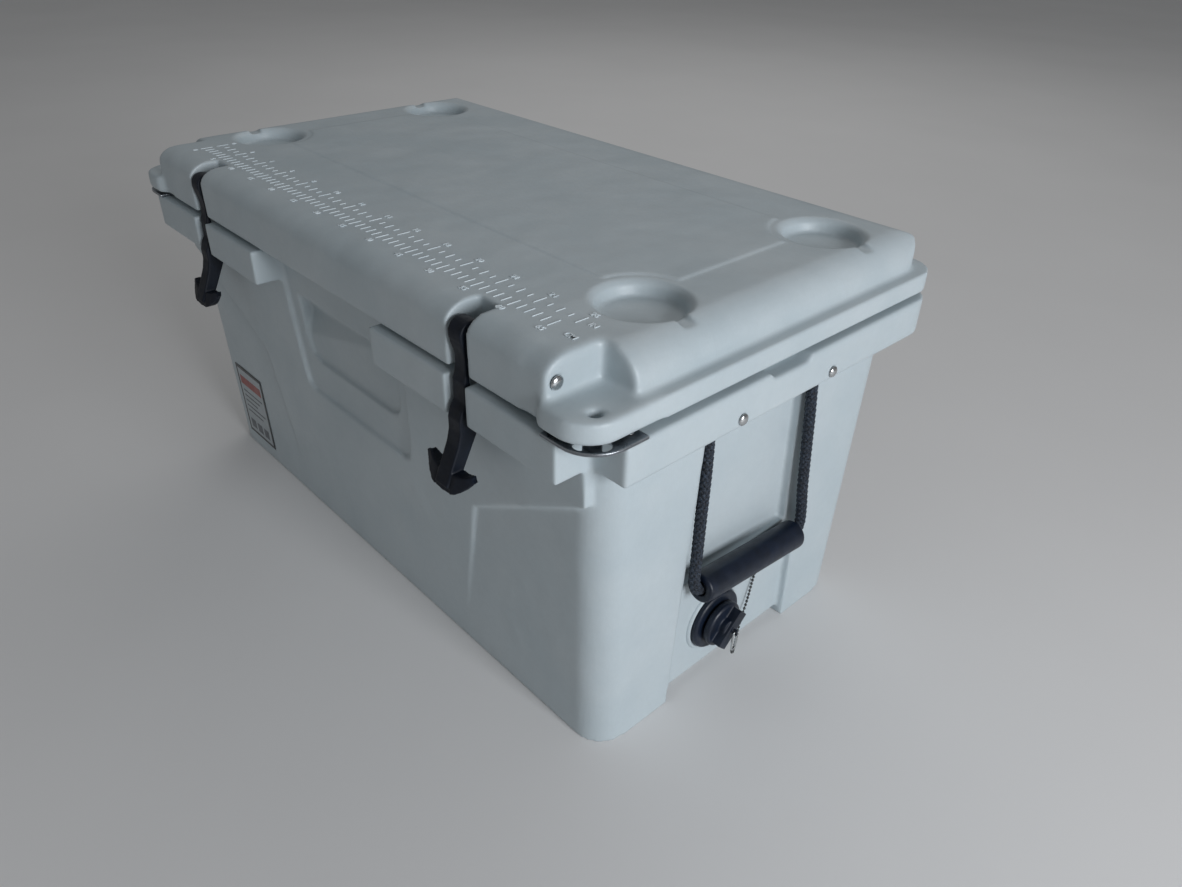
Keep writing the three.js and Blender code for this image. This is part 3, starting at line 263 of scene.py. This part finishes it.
def printed_film(name, light, dark):
    # Screen-printed polyester film: flat satin ink, slightly uneven where the squeegee ran.
    material, tree, shader, place = start_material(name, {"IOR": 1.57})
    ink = spread_of(tree, noise(tree, place, 8, 3), 0, 1)
    tree.links.new(blend_colours(tree, ink, linear(light), linear(dark)), shader.inputs["Base Color"])
    tree.links.new(spread_of(tree, noise(tree, place, 12, 2), 0.30, 0.42), shader.inputs["Roughness"])
    return material


def sprayed_studio_floor():
    # Matte emulsion on a smooth studio floor: even pale grey with a very faint roller mottle.
    material, tree, shader, place = start_material("sprayed_studio_floor", {"IOR": 1.4})
    mottle = spread_of(tree, noise(tree, place, 600, 3), 0, 1)
    tree.links.new(blend_colours(tree, mottle, linear("#E6E5E4"), linear("#EAE9E8")),
                   shader.inputs["Base Color"])
    tree.links.new(spread_of(tree, noise(tree, place, 80, 2), 0.80, 0.92), shader.inputs["Roughness"])
    return material


POLYETHYLENE = rotomoulded_polyethylene()
RAISED_MARK = raised_mark_polyethylene()
LATCH_RUBBER = moulded_latch_rubber()
NYLON = injection_moulded_nylon()
BRAID = braided_polyester()
STAINLESS = polished_stainless()
DARK_STAINLESS = stamped_dark_stainless()
BALL_CHAIN = tarnished_nickel()
SEAL_RUBBER = moulded_seal_rubber()
FOAM = blown_polyurethane_foam()
FILM_BORDER = printed_film("printed_film_black", "#181B1F", "#22262B")
FILM_FIELD = printed_film("printed_film_grey", "#A4ADB1", "#B0B8BC")
FILM_BAND = printed_film("printed_film_red", "#8C3A34", "#9C463E")
FILM_BARS = printed_film("printed_film_charcoal", "#4A5157", "#5A6168")


# ---- making and placing pieces ----------------------------------------------------------------
FILLING_GROWTH = 1.8 * MM  # closes the clearance between a skin and its filling
JOINED_WITHIN = 0.002 * MM
RELAX_FACTOR = 0.5
FADE_LEVELS = (0.25, 0.5, 0.75, 1.0)


def add_object(name, data):
    """A new object in the scene."""
    thing = bpy.data.objects.new(name, data)
    bpy.context.scene.collection.objects.link(thing)
    return thing


def new_piece(name, vertices, faces, materials, face_materials=None):
    """A smooth-shaded mesh piece from its vertices and faces."""
    mesh = bpy.data.meshes.new(name)
    mesh.from_pydata([tuple(v) for v in vertices], [], [tuple(f) for f in faces])
    for material in materials:
        mesh.materials.append(material)
    if face_materials is not None:
        mesh.polygons.foreach_set("material_index", face_materials)
    mesh.polygons.foreach_set("use_smooth", [True] * len(mesh.polygons))
    mesh.update()
    return add_object(name, mesh)


def settle(piece):
    """Applies a piece's modifiers to its mesh."""
    graph = bpy.context.evaluated_depsgraph_get()
    graph.update()
    mesh = bpy.data.meshes.new_from_object(piece.evaluated_get(graph))
    piece.modifiers.clear()
    piece.data = mesh


def ready(piece, body, slot, *nodes):
    """Rides a finished piece on its body and hides the CAD nodes it stands for; the slot is not used."""
    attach(piece, body)
    if nodes:
        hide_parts(*nodes)
    return piece


def cad_mesh(node):
    """A copy of a CAD node's surface with its corners joined."""
    shape = bmesh.new()
    shape.from_mesh(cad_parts[node].data)
    bmesh.ops.remove_doubles(shape, verts=shape.verts, dist=JOINED_WITHIN)
    return shape


def points_of(piece):
    """A piece's vertices as an array of rows."""
    points = np.empty(len(piece.data.vertices) * 3)
    piece.data.vertices.foreach_get("co", points)
    return points.reshape(-1, 3)


def relax(piece, passes, group=""):
    """Adds smoothing passes over a piece, or over one of its vertex groups."""
    modifier = piece.modifiers.new("relax", "SMOOTH")
    modifier.factor = RELAX_FACTOR
    modifier.iterations = passes
    modifier.vertex_group = group


def soften(piece, regions):
    """Relaxes some regions further; a region is (low corner, high corner, fade in mm, passes)."""
    points = points_of(piece)
    for number, (low, high, fade_mm, passes) in enumerate(regions):
        outside = np.maximum(np.array(low) - points, points - np.array(high)).max(axis=1)
        weight = np.clip(1 - outside / (fade_mm * MM), 0, 1)
        group = piece.vertex_groups.new(name=f"region_{number}")
        for level in FADE_LEVELS:
            chosen = np.nonzero((weight > level - FADE_LEVELS[0]) & (weight <= level))[0]
            group.add(chosen.tolist(), level, "REPLACE")
        relax(piece, passes, group.name)
    settle(piece)
    piece.vertex_groups.clear()
    return piece


def rounded_skin(name, node, voxel_mm, passes, material, filling=None):
    """A CAD solid's surface remeshed and relaxed so that edges round off; a filling closes its inside."""
    shape = cad_mesh(node)
    if filling:
        core = cad_mesh(filling)
        core.normal_update()
        for vertex in core.verts:
            vertex.co += vertex.normal * FILLING_GROWTH
        spare = bpy.data.meshes.new("filling")
        core.to_mesh(spare)
        core.free()
        shape.from_mesh(spare)
        bpy.data.meshes.remove(spare)
    mesh = bpy.data.meshes.new(name)
    shape.to_mesh(mesh)
    shape.free()
    piece = add_object(name, mesh)
    remesh = piece.modifiers.new("skin", "REMESH")
    remesh.mode = "VOXEL"
    remesh.voxel_size = voxel_mm * MM
    remesh.use_smooth_shade = True
    relax(piece, passes)
    settle(piece)
    piece.data.materials.clear()
    piece.data.materials.append(material)
    return piece


def centre_of(node):
    low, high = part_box(node)
    return (Vector(low) + Vector(high)) / 2


# ---- routes and tubes --------------------------------------------------------------------------
def between(a, b, start, end, t):
    """The point a share of the way from a to b, where t runs from start to end."""
    return a + (b - a) * (t - start) / (end - start)


def smooth_route(points, step):
    """Points evenly about step apart on one smooth curve through chosen route points."""
    route = np.array(points, float)
    padded = np.vstack([2 * route[0] - route[1], route, 2 * route[-1] - route[-2]])
    curve = []
    for p in zip(padded, padded[1:], padded[2:], padded[3:]):
        k = np.cumsum([0] + [math.sqrt(np.linalg.norm(b - a)) for a, b in zip(p, p[1:])])
        count = max(4, math.ceil(np.linalg.norm(p[2] - p[1]) / step))
        for t in np.linspace(k[1], k[2], count, endpoint=False):
            first = [between(p[i], p[i + 1], k[i], k[i + 1], t) for i in range(3)]
            second = [between(first[i], first[i + 1], k[i], k[i + 2], t) for i in range(2)]
            curve.append(between(second[0], second[1], k[1], k[2], t))
    curve.append(route[-1])
    curve = np.array(curve)
    along = lengths(curve)
    even = np.linspace(0, along[-1], math.ceil(along[-1] / step) + 1)
    return np.stack([np.interp(even, along, curve[:, i]) for i in range(3)], axis=1)


def lengths(line):
    """How far along a line each of its points is."""
    return np.concatenate([[0], np.cumsum(np.linalg.norm(np.diff(line, axis=0), axis=1))])


def unit(vectors):
    return vectors / np.linalg.norm(vectors, axis=-1, keepdims=True)


def frames_along(line, start_side):
    """Directions along a line and two across it that turn as little as they can."""
    ahead = unit(np.gradient(line, axis=0))
    side = np.zeros_like(line)
    side[0] = start_side
    for i in range(len(line)):
        carried = side[max(0, i - 1)] if i else side[0]
        side[i] = unit(carried - np.dot(carried, ahead[i]) * ahead[i])
    return ahead, side, np.cross(ahead, side)


def tube_rings(centres, across, outward, half_width, half_thick, sides):
    """Rings of an elliptical tube whose section lies in two directions at each centre."""
    angles = np.linspace(0, 2 * np.pi, sides, endpoint=False)
    wide = half_width * np.cos(angles)[None, :, None] * across[:, None, :]
    thick = half_thick * np.sin(angles)[None, :, None] * outward[:, None, :]
    return (centres[:, None, :] + wide + thick).reshape(-1, 3)


def tube_faces(rings, sides, first):
    """The faces of a closed tube whose rings follow one another from vertex number first."""
    faces = []
    for i in range(rings - 1):
        for k in range(sides):
            a = first + i * sides + k
            b = first + i * sides + (k + 1) % sides
            faces.append((a, b, b + sides, a + sides))
    faces.append(tuple(range(first + sides - 1, first - 1, -1)))
    last = first + (rings - 1) * sides
    faces.append(tuple(range(last, last + sides)))
    return faces


# ---- rope handles --------------------------------------------------------------------------------
ROPE_RADIUS = 6 * MM
CARRIERS = 6  # strands that run each way round the braid
BRAID_PITCH = 40 * MM
STRAND_HALF_WIDTH = 1.9 * MM
STRAND_HALF_THICK = 1.15 * MM
WEAVE_DEPTH = 0.55 * MM
STRAND_SIDES = 7
ROPE_STEP = 0.85 * MM
ROPE_DROP = [
    (0.398, 0.0765, 0.332),
    (0.401, 0.0786, 0.290),
    (0.4035, 0.0816, 0.235),
    (0.4055, 0.0838, 0.195),
    (0.4075, 0.086, 0.168),
]
ROPE_IN_GRIP = [(86, 9), (81, 1), (40, 0)]  # mm along the grip and up from its axis
GRIP_TILT = math.radians(5)
GRIP_PLACE = {side: centre_of(f"handle_grip_{side}") for side in SIDES}
ROPE_SHIFT_Y = GRIP_PLACE["right"].y  # the handles' middle plane


def rope_route(side):
    """The handle rope's route: down one strand, through the grip and up the other."""
    grip = GRIP_PLACE[side]
    half = {1: [], -1: []}
    for end in (1, -1):
        for x, y, z in ROPE_DROP:
            half[end].append((SIDES[side] * x, ROPE_SHIFT_Y + end * y, z))
        for along, up in ROPE_IN_GRIP:
            a = end * along * MM
            u = up * MM
            y = ROPE_SHIFT_Y + a * math.cos(GRIP_TILT) + u * math.sin(GRIP_TILT)
            z = grip.z - a * math.sin(GRIP_TILT) + u * math.cos(GRIP_TILT)
            half[end].append((grip.x, y, z))
    return half[-1] + half[1][::-1]


def braided_rope(name, line):
    """A rope of strands that pass over and under each other round a core."""
    ahead, side, up = frames_along(line, (1.0, 0.0, 0.0))
    along = lengths(line)
    middle = ROPE_RADIUS - STRAND_HALF_THICK - WEAVE_DEPTH
    rings = [tube_rings(line, side, up, middle, middle, STRAND_SIDES * 2)]
    faces = tube_faces(len(line), STRAND_SIDES * 2, 0)
    used = len(rings[0])
    weave = np.cos(2 * np.pi * CARRIERS * along / BRAID_PITCH)
    for way in (1, -1):
        for carrier in range(CARRIERS):
            angle = 2 * np.pi * (way * along / BRAID_PITCH + carrier / CARRIERS)
            outward = np.cos(angle)[:, None] * side + np.sin(angle)[:, None] * up
            centres = line + (middle + way * WEAVE_DEPTH * weave)[:, None] * outward
            across = unit(np.cross(outward, unit(np.gradient(centres, axis=0))))
            rings.append(tube_rings(centres, across, outward, STRAND_HALF_WIDTH,
                                    STRAND_HALF_THICK, STRAND_SIDES))
            faces += tube_faces(len(line), STRAND_SIDES, used)
            used += len(rings[-1])
    return new_piece(name, np.vstack(rings), faces, [BRAID])


def make_handle_ropes():
    for side in SIDES:
        line = smooth_route(rope_route(side), ROPE_STEP)
        rope = braided_rope(f"handle_rope_braid_{side}", line)
        ready(rope, f"handle_{side}", "handle_rope", f"handle_rope_{side}")


make_handle_ropes()


# ---- drain chain -----------------------------------------------------------------------------------
CHAIN_DIAMETER = 3.2 * MM
BALL_RADIUS = 1.6 * MM
CHAIN_PITCH = 4.4 * MM
CHAIN_WIRE = 0.5 * MM
WIRE_SIDES = 8
ROUTE_STEP = 1 * MM
CHAIN_ROUTE = [
    (0.4229, -0.02475, 0.0472),
    (0.4229, -0.02475, 0.0442),
    (0.4209, -0.01975, 0.039),
    (0.414, -0.00675, 0.037),
    (0.405, 0.00825, 0.037),
    (0.3985, 0.02025, 0.043),
    (0.396, 0.02925, 0.057),
    (0.395, 0.03425, 0.071),
    (0.394, 0.03825, 0.085),
    (0.394, 0.04075, 0.099),
    (0.394, 0.04125, 0.115),
]


def make_drain_chain():
    """Steel balls strung on a wire from the plug's link to a screw beside the handle."""
    line = smooth_route(CHAIN_ROUTE, ROUTE_STEP)
    along = lengths(line)
    ahead, side, up = frames_along(line, (1.0, 0.0, 0.0))
    shape = bmesh.new()
    for at in np.arange(CHAIN_DIAMETER / 2, along[-1], CHAIN_PITCH):
        centre = [np.interp(at, along, line[:, i]) for i in range(3)]
        bmesh.ops.create_uvsphere(shape, u_segments=14, v_segments=9, radius=BALL_RADIUS,
                                  matrix=Matrix.Translation(centre))
    rings = tube_rings(line, side, up, CHAIN_WIRE, CHAIN_WIRE, WIRE_SIDES)
    vertices = [shape.verts.new(tuple(v)) for v in rings]
    for face in tube_faces(len(line), WIRE_SIDES, 0):
        shape.faces.new([vertices[i] for i in face])
    mesh = bpy.data.meshes.new("drain_ball_chain")
    shape.to_mesh(mesh)
    shape.free()
    mesh.materials.append(BALL_CHAIN)
    mesh.polygons.foreach_set("use_smooth", [True] * len(mesh.polygons))
    chain = add_object("drain_ball_chain", mesh)
    ready(chain, "tub", "stainless_steel", "drain_chain")


make_drain_chain()


# ---- tub and lid ---------------------------------------------------------------------------------
TUB_VOXEL = 2.1  # mm
LID_VOXEL = 1.8
TUB_PASSES = 4
LID_PASSES = 3

RIM_BAND = ((-0.5, -0.3, 0.325), (0.5, 0.3, 0.386), 6, 5)  # the rim's edges are well rounded
LID_LIP_BAND = ((-0.5, -0.3, 0.38), (0.5, 0.3, 0.400), 5, 7)  # so is the underside of the lid
NOTCH_HALF = 0.045
NOTCH_REGIONS = [  # the notches at the lid's front corners are well blended
    ((x - NOTCH_HALF, -0.26, 0.38), (x + NOTCH_HALF, -0.165, 0.442), 8, 34) for x in (-0.39, 0.39)
]


def make_shells():
    tub = rounded_skin("tub_skin", "body_shell", TUB_VOXEL, TUB_PASSES, POLYETHYLENE, "body_foam")
    ready(soften(tub, [RIM_BAND]), "tub", "white_polyethylene", "body_shell")
    lid = rounded_skin("lid_skin", "lid_shell", LID_VOXEL, LID_PASSES, POLYETHYLENE, "lid_foam")
    ready(soften(lid, [LID_LIP_BAND, *NOTCH_REGIONS]), "lid", "white_polyethylene", "lid_shell")


make_shells()


# ---- moulded and turned fittings --------------------------------------------------------------------
LATCH_X = (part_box("latch_right")[0][0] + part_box("latch_right")[1][0]) / 2
T_BAR_HALF = (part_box("latch_right")[1][0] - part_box("latch_right")[0][0]) / 2
T_BAR_TOP = 0.312
WAIST_Z = 0.393  # the strap is thinner here, between its head and the rim
WAIST_HALF = 0.017
WAIST_DEPTH = 3.6 * MM
WAIST_NARROWING = 0.2
STRAP_BACK_Y = -0.2287
STRAP_FRONT_FADE = 8 * MM
TIP_START = 0.30  # share of the half width where the pull's arms begin to taper
TIP_KEEP = 0.25  # how much of the arm's section is left at its tip
ROOT_KEEP = 1.12  # the arms are a little fuller where they leave the strap
TIP_CURVE = 1.6
ARM_BINS = 36
LATCH_PASSES = 5


def shape_latch(piece, side):
    """Thins the strap under its head and tapers the arms of the pull to leaf-shaped tips."""
    points = points_of(piece)
    waist = np.clip(1 - ((points[:, 2] - WAIST_Z) / WAIST_HALF) ** 2, 0, 1)
    front = np.clip((STRAP_BACK_Y - points[:, 1]) / STRAP_FRONT_FADE, 0, 1)
    points[:, 1] += WAIST_DEPTH * waist * front
    middle_x = SIDES[side] * LATCH_X
    points[:, 0] = middle_x + (1 - WAIST_NARROWING * waist) * (points[:, 0] - middle_x)
    across = np.abs(points[:, 0] - middle_x) / T_BAR_HALF
    arm = (points[:, 2] < T_BAR_TOP) & (across > TIP_START)
    bins = np.round(across * ARM_BINS).astype(int)
    for number in np.unique(bins[arm]):
        ring = arm & (bins == number)
        share = np.clip((number / ARM_BINS - TIP_START) / (1 - TIP_START), 0, 1)
        keep = ROOT_KEEP - (ROOT_KEEP - TIP_KEEP) * share ** TIP_CURVE
        middle = points[ring][:, 1:].mean(axis=0)
        points[ring, 1:] = middle + keep * (points[ring, 1:] - middle)
    piece.data.vertices.foreach_set("co", points.ravel())
    relax(piece, LATCH_PASSES)
    settle(piece)
    return piece


# each row: piece name, CAD node, voxel mm, smoothing passes, material, body, slot
FITTINGS = [
    ("drain_flange_moulding", "drain_flange", 0.9, 4, NYLON, "tub", "black_plastic"),
    ("drain_plug_moulding", "drain_plug", 0.8, 5, NYLON, "plug", "black_plastic"),
    ("drain_link_wire", "drain_link", 0.35, 3, STAINLESS, "plug", "stainless_steel"),
    ("chain_screw_turning", "drain_chain_screw", 0.45, 4, STAINLESS, "tub", "stainless_steel"),
]
for side in SIDES:
    FITTINGS += [
        (f"grip_moulding_{side}", f"handle_grip_{side}", 1.0, 6, NYLON, f"grip_{side}",
         "black_plastic"),
        (f"corner_plate_stamping_{side}", f"corner_plate_{side}", 0.6, 3, DARK_STAINLESS, "tub",
         "dark_steel_plate"),
        (f"latch_bolt_turning_{side}", f"latch_bolt_{side}", 0.6, 4, STAINLESS, "lid",
         "stainless_steel"),
    ]
    for end in (f"{side}_back", f"{side}_front"):
        FITTINGS += [
            (f"rope_end_collar_{end}", f"rope_end_{end}", 0.6, 3, BRAID, "tub", "handle_rope"),
            (f"rope_screw_turning_{end}", f"rope_screw_{end}", 0.45, 4, STAINLESS, "tub",
             "stainless_steel"),
        ]
    for end in (f"{side}_1", f"{side}_2"):
        FITTINGS.append((f"plate_screw_turning_{end}", f"plate_screw_{end}", 0.35, 3, STAINLESS,
                         "tub", "stainless_steel"))


def make_fittings():
    for side in SIDES:
        latch = rounded_skin(f"latch_moulding_{side}", f"latch_{side}", 0.9, 4, LATCH_RUBBER)
        ready(shape_latch(latch, side), f"latch_{side}", "latch_rubber", f"latch_{side}")
    for name, node, voxel_mm, passes, material, body, slot in FITTINGS:
        ready(rounded_skin(name, node, voxel_mm, passes, material), body, slot, node)


make_fittings()


# ---- ruler on the lid ------------------------------------------------------------------------------
LID_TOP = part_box("lid_shell")[1][2] - 1.2 * MM  # the plain top, below the raised panel
RULER_START_X = -0.327
INCH_ROW_Y = -0.1675
CM_ROW_Y = -0.1874
INCH_LABEL_Y = -0.1533
CM_LABEL_Y = -0.2018
INCH_UNIT_PLACE = (0.347, INCH_ROW_Y)
CM_UNIT_PLACE = (0.349, CM_ROW_Y - 6 * MM)
INCH = 0.0254
INCH_COUNT = 26
CM_COUNT = 65
TICK_HALF_WIDTH = 0.55 * MM
TICK_RISE = 0.55 * MM
TICK_SINK = 0.5 * MM
DIGIT_SIZE = 8.6 * MM
TICK_ARC = 7
TICK_STATIONS = [(-0.5, 0.35), (-0.46, 0.85), (-0.40, 1.0), (0.40, 1.0), (0.46, 0.85), (0.5, 0.35)]
INCH_TICKS = (15, 11, 7)  # mm long at even inches, odd inches and half inches
CM_TICKS = (15, 12)  # mm long at every fifth centimetre and at the others
DIGIT_RISE = 0.45 * MM
DIGIT_BEVEL = 0.15 * MM
DIGIT_GROWTH = 0.02 * MM
TEXT_JOINED_WITHIN = 0.003 * MM


def raised_tick(x, y, length, first):
    """The vertices and faces of one low rounded bar along Y."""
    vertices = []
    for share, swell in TICK_STATIONS:
        for k in range(TICK_ARC):
            angle = math.pi * k / (TICK_ARC - 1)
            vertices.append((x + swell * TICK_HALF_WIDTH * math.cos(angle), y + share * length,
                             LID_TOP + swell * TICK_RISE * math.sin(angle)))
        vertices.append((x, y + share * length, LID_TOP - TICK_SINK))
    return vertices, tube_faces(len(TICK_STATIONS), TICK_ARC + 1, first)


def make_ruler_ticks():
    vertices = []
    faces = []
    rows = []
    for half_inch in range(2 * INCH_COUNT + 1):
        length = INCH_TICKS[0 if half_inch % 4 == 0 else 1 if half_inch % 2 == 0 else 2]
        rows.append((RULER_START_X + half_inch * INCH / 2, INCH_ROW_Y, length * MM))
    for number in range(CM_COUNT + 1):
        length = CM_TICKS[0 if number % 5 == 0 else 1]
        rows.append((RULER_START_X + number * 10 * MM, CM_ROW_Y, length * MM))
    for x, y, length in rows:
        more, its_faces = raised_tick(x, y, length, len(vertices))
        vertices += more
        faces += its_faces
    ready(new_piece("ruler_ticks", vertices, faces, [RAISED_MARK]), "lid", "white_polyethylene")


def raised_text(words, x, y):
    """A raised number or unit on the lid, as mesh data in place."""
    curve = bpy.data.curves.new("mark", "FONT")
    curve.body = words
    curve.size = DIGIT_SIZE
    curve.align_x = "CENTER"
    curve.align_y = "CENTER"
    curve.extrude = DIGIT_RISE
    curve.bevel_depth = DIGIT_BEVEL
    curve.offset = DIGIT_GROWTH
    text = add_object("mark", curve)
    bpy.context.view_layer.update()
    graph = bpy.context.evaluated_depsgraph_get()
    mesh = bpy.data.meshes.new_from_object(text.evaluated_get(graph))
    mesh.transform(Matrix.Translation((x, y, LID_TOP)))
    bpy.data.objects.remove(text)
    return mesh


def make_ruler_numbers():
    shape = bmesh.new()
    marks = [("IN", *INCH_UNIT_PLACE), ("CM", *CM_UNIT_PLACE)]
    for number in range(0, INCH_COUNT + 1, 2):
        marks.append((str(number), RULER_START_X + number * INCH, INCH_LABEL_Y))
    for number in range(0, CM_COUNT + 1, 5):
        marks.append((str(number), RULER_START_X + number * 10 * MM, CM_LABEL_Y))
    for words, x, y in marks:
        mesh = raised_text(words, x, y)
        shape.from_mesh(mesh)
        bpy.data.meshes.remove(mesh)
    bmesh.ops.remove_doubles(shape, verts=shape.verts, dist=TEXT_JOINED_WITHIN)
    mesh = bpy.data.meshes.new("ruler_numbers")
    shape.to_mesh(mesh)
    shape.free()
    mesh.materials.append(RAISED_MARK)
    ready(add_object("ruler_numbers", mesh), "lid", "white_polyethylene")


make_ruler_ticks()
make_ruler_numbers()


# ---- plain label -----------------------------------------------------------------------------------
LABEL_NODE = "body_label"
LABEL_INK = 0.12 * MM
LABEL_FIELD = (0.055, 0.945, 0.04, 0.96)  # left, right, foot and head as shares of the label
LABEL_BAND = (0.10, 0.90, 0.74, 0.86)
LABEL_LINES = 5
LABEL_LINE_HEAD = 0.66
LABEL_LINE_STEP = 0.075
LABEL_LINE_THICK = 0.022
LABEL_BLOCKS = 3
LABEL_BLOCK_STEP = 0.26
LABEL_BLOCK_WIDTH = 0.19
LABEL_LEFT = 0.14


def make_label():
    """A generic printed panel: border, pale field, one coloured band and blank bars."""
    low, high = (Vector(corner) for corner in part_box(LABEL_NODE))
    # the tub's front leans, so the label's plane is fitted to its own CAD face
    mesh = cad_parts[LABEL_NODE].data
    front = [v.co for v in mesh.vertices]
    foot = min(v.y for v in front if v.z < low.z + MM)
    head = min(v.y for v in front if v.z > high.z - MM)
    width = high.x - low.x
    height = high.z - low.z
    boxes = [(0, 1, 0, 1, 0, 0)]
    boxes.append((*LABEL_FIELD, 1, 1))
    boxes.append((*LABEL_BAND, 2, 2))
    for row in range(LABEL_LINES):
        v = LABEL_LINE_HEAD - row * LABEL_LINE_STEP
        right = 1 - LABEL_LEFT - 0.13 * (row % 3)
        boxes.append((LABEL_LEFT, right, v - LABEL_LINE_THICK, v, 3, 2))
    for column in range(LABEL_BLOCKS):
        u = LABEL_LEFT + column * LABEL_BLOCK_STEP
        boxes.append((u, u + LABEL_BLOCK_WIDTH, 0.09, 0.22, 3, 2))
    vertices = []
    faces = []
    inks = []
    for u0, u1, v0, v1, ink, level in boxes:
        first = len(vertices)
        for out in (level + 1, -2):
            for u, v in ((u0, v0), (u1, v0), (u1, v1), (u0, v1)):
                y = foot + (head - foot) * v - out * LABEL_INK
                vertices.append((low.x + u * width, y, low.z + v * height))
        quads = [(0, 1, 2, 3), (7, 6, 5, 4)]
        quads += [(k, k + 4, (k + 1) % 4 + 4, (k + 1) % 4) for k in range(4)]
        faces += [tuple(first + i for i in quad) for quad in quads]
        inks += [ink] * len(quads)
    label = new_piece("body_label_film", vertices, faces,
                      [FILM_BORDER, FILM_FIELD, FILM_BAND, FILM_BARS], inks)
    label.data.polygons.foreach_set("use_smooth", [False] * len(label.data.polygons))
    ready(label, "tub", "printed_label", LABEL_NODE)


make_label()


# ---- CAD pieces that keep their shape -----------------------------------------------------------------
KEPT = {
    "lid_gasket": SEAL_RUBBER,
    "body_foam": FOAM,
    "lid_foam": FOAM,
    "body_fill_plug": NYLON,
    "lid_fill_plug": NYLON,
    "drain_washer": SEAL_RUBBER,
    "drain_nut": NYLON,
    "drain_plug_gasket": SEAL_RUBBER,
    "hinge_rod_right": STAINLESS,
    "hinge_rod_left": STAINLESS,
}
for node, material in KEPT.items():
    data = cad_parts[node].data
    data.materials.clear()
    data.materials.append(material)


# ---- ring moulded round the drain ------------------------------------------------------------------
DRAIN_FACE_X = 0.3912
DRAIN_RING_SEGMENTS = 72
DRAIN_RING_PROFILE = [  # radius and height in mm
    (35.6, -3), (35.6, 1.6), (36.2, 2.6), (37.4, 3.0), (38.6, 2.4), (39.6, 0.8), (40.6, -3),
]


def make_drain_ring():
    """A low white ring standing out of the tub round the drain's flange."""
    flange = centre_of("drain_flange")
    turn = Vector((1, 0, 0)).to_track_quat("Z", "Y").to_matrix()
    vertices = []
    faces = []
    for k in range(DRAIN_RING_SEGMENTS):
        angle = 2 * math.pi * k / DRAIN_RING_SEGMENTS
        for radius, height in DRAIN_RING_PROFILE:
            local = Vector((radius * math.cos(angle), radius * math.sin(angle), height)) * MM
            vertices.append(Vector((DRAIN_FACE_X, flange.y, flange.z)) + turn @ local)
    count = len(DRAIN_RING_PROFILE)
    for k in range(DRAIN_RING_SEGMENTS):
        following = (k + 1) % DRAIN_RING_SEGMENTS
        for i in range(count):
            a = k * count + i
            b = k * count + (i + 1) % count
            c = following * count + (i + 1) % count
            d = following * count + i
            faces.append((a, b, c, d))
    ready(new_piece("drain_ring", vertices, faces, [POLYETHYLENE]), "tub", "white_polyethylene")


make_drain_ring()


# ---- floor, light and world --------------------------------------------------------------------------
FLOOR_HALF = 14
WORLD_STRENGTH = 0.31
# each lamp: name, place, what it faces, size in metres, watts, colour
LAMPS = [
    ("key", (2.8, -0.34, 1.08), (0.2, 0, 0.2), 1.0, 48, "#F7FAFF"),
    ("top", (-1.3, 2.0, 2.6), (-0.9, 1.5, 0), 2.4, 15, "#FFFFFF"),
]


def make_floor():
    corners = ((-1, -1), (1, -1), (1, 1), (-1, 1))
    vertices = [(FLOOR_HALF * x, FLOOR_HALF * y, 0) for x, y in corners]
    floor = new_piece("studio_floor", vertices, [(0, 1, 2, 3)], [sprayed_studio_floor()])


def soft_light(name, place, aim, size, watts, colour):
    """A large square lamp facing a point."""
    data = bpy.data.lights.new(name, "AREA")
    data.size = size
    data.energy = watts
    data.color = linear(colour)[:3]
    lamp = add_object(name, data)
    lamp.location = place
    lamp.rotation_euler = (Vector(aim) - Vector(place)).to_track_quat("-Z", "Y").to_euler()


def make_light():
    world = bpy.data.worlds.new("studio")
    bpy.context.scene.world = world
    world.use_nodes = True
    sky = world.node_tree.nodes["Background"]
    sky.inputs["Color"].default_value = linear("#C4C6C8")
    sky.inputs["Strength"].default_value = WORLD_STRENGTH
    for lamp in LAMPS:
        soft_light(*lamp)


make_floor()
make_light()
bpy.context.scene.view_settings.view_transform = "Standard"
